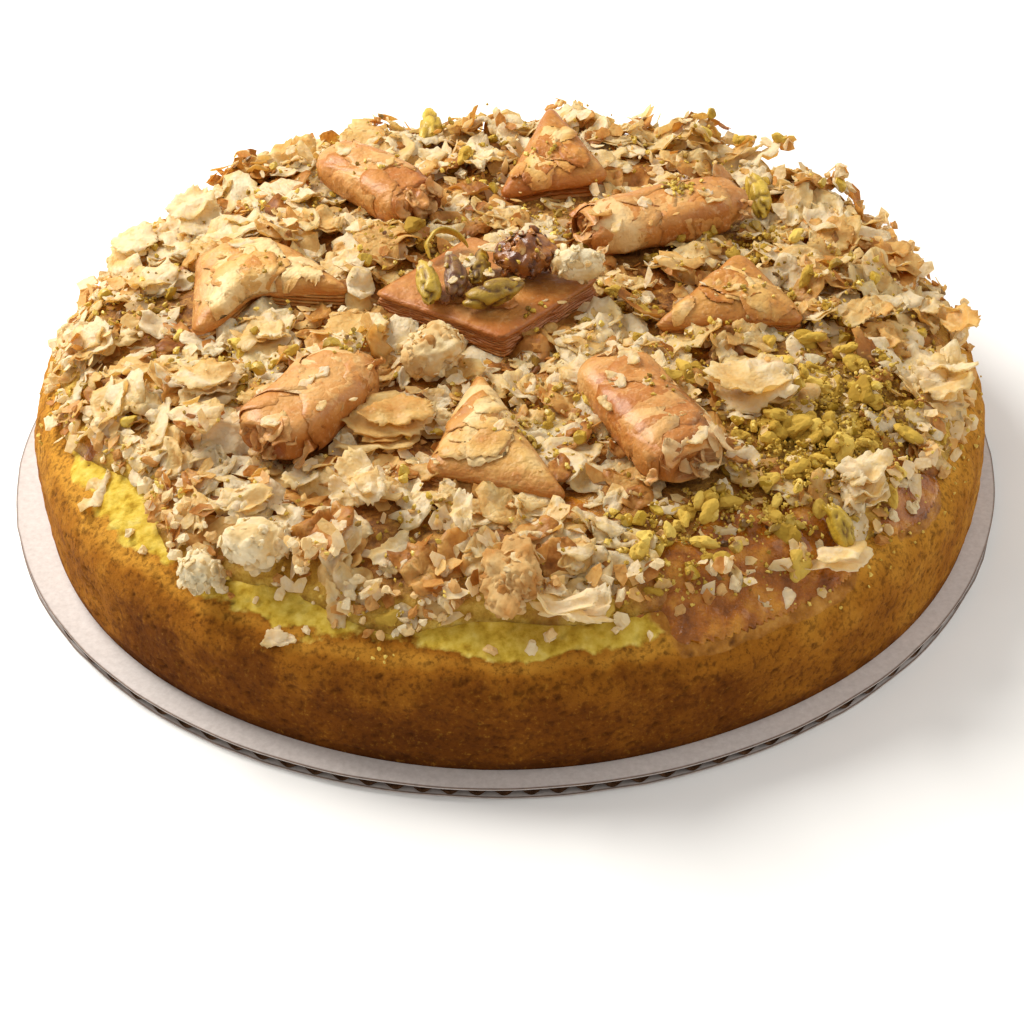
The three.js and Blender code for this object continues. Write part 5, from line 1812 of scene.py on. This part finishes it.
def floor_piece():
    paint = Paint("floor_look", Specular_IOR_Level=0.2)
    colour = paint.ramp(paint.noise(40, 2.0), [(0.3, (246, 246, 246)), (0.7, (250, 250, 250))])
    points = np.array([(-1, -1, 0), (1, -1, 0), (1, 1, 0), (-1, 1, 0)]) * FLOOR_HALF
    floor = mesh_object("floor", points, [np.array([[0, 1, 2, 3]])], paint.finish(colour, 0.8), {}, False)
    floor.location.z = -FLOOR_DROP


def area_light(name, at, size, power, colour):
    data = bpy.data.lights.new(name, "AREA")
    data.shape = "DISK"
    data.size = size
    data.energy = power
    data.color = colour
    light = linked(name, data)
    light.location = at
    light.rotation_euler = (Vector(LIGHT_AIM) - Vector(at)).to_track_quat("-Z", "Y").to_euler()


def light_scene():
    for name, light in LIGHTS.items():
        area_light(name, *light)
    world = bpy.data.worlds.new("studio")
    world.use_nodes = True
    background = world.node_tree.nodes["Background"]
    background.inputs["Color"].default_value = SKY_COLOUR
    background.inputs["Strength"].default_value = SKY_STRENGTH
    scene = bpy.context.scene
    scene.world = world
    scene.view_settings.view_transform = "Standard"
    scene.view_settings.look = "None"


def add_camera():
    """Camera at the photo's height and distance, aimed a little beside the middle of the base"""
    rise = math.radians(CAMERA_ELEVATION)
    away = np.array([0, -math.cos(rise), math.sin(rise)])
    right = np.array([1.0, 0, 0])
    spot = CAMERA_DISTANCE * away
    aim = CAMERA_AIM[0] * right + CAMERA_AIM[1] * np.cross(away, right)
    back = (spot - aim) / np.linalg.norm(spot - aim)
    level = np.cross([0, 0, 1.0], back)
    level /= np.linalg.norm(level)
    up = np.cross(back, level)
    roll = math.radians(CAMERA_ROLL)
    side = level * math.cos(roll) + up * math.sin(roll)
    top = up * math.cos(roll) - level * math.sin(roll)
    data = bpy.data.cameras.new("photo_camera")
    data.sensor_width = SENSOR
    data.lens = SENSOR * FOCAL_SHARE
    camera = linked("photo_camera", data)
    camera.matrix_world = Matrix([*zip(side, top, back, spot), (0, 0, 0, 1)])
    bpy.context.scene.camera = camera


# The cake, its loose topping and the stage

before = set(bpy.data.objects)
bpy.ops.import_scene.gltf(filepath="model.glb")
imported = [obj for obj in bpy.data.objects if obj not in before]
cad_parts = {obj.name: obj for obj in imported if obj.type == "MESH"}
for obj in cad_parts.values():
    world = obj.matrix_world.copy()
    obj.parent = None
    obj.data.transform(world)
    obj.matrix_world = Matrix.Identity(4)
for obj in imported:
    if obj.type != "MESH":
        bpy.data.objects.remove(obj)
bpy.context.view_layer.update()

card_piece()
sponge_piece()
core_piece()

field = Field()
glaze_piece(field)
makes = [(slab_piece, SLABS), (roll_piece, ROLLS), (kernel_piece, KERNELS), (lump_piece, LUMPS),
         (shard_piece, SHARDS)]
for make_piece, nodes in makes:
    for node, look in nodes.items():
        make_piece(node, field, **look)
slice_piece(SLICE, field)

scatter = Scatter(field)
nuts = Batch()
powder = Batch()
crumbs = Batch()
scatter_nuts(scatter, nuts, powder, 0.5)
scatter_crumbs(scatter, crumbs)
small = scatter_flakes(scatter)
scatter_nuts(scatter, nuts, powder, 0.5)
dress_rim(scatter, crumbs, small, powder)
dress_pieces(scatter, nuts)
place_batch(crumbs, "loose_crumbs", "crumb", smooth=False)
place_batch(small, "filo_bits", "filo", smooth=False)
place_batch(nuts, "chopped_pistachio", "pistachio", smooth=False)
place_batch(powder, "pistachio_powder", "pistachio", look="powder", smooth=False)

floor_piece()
light_scene()
add_camera()
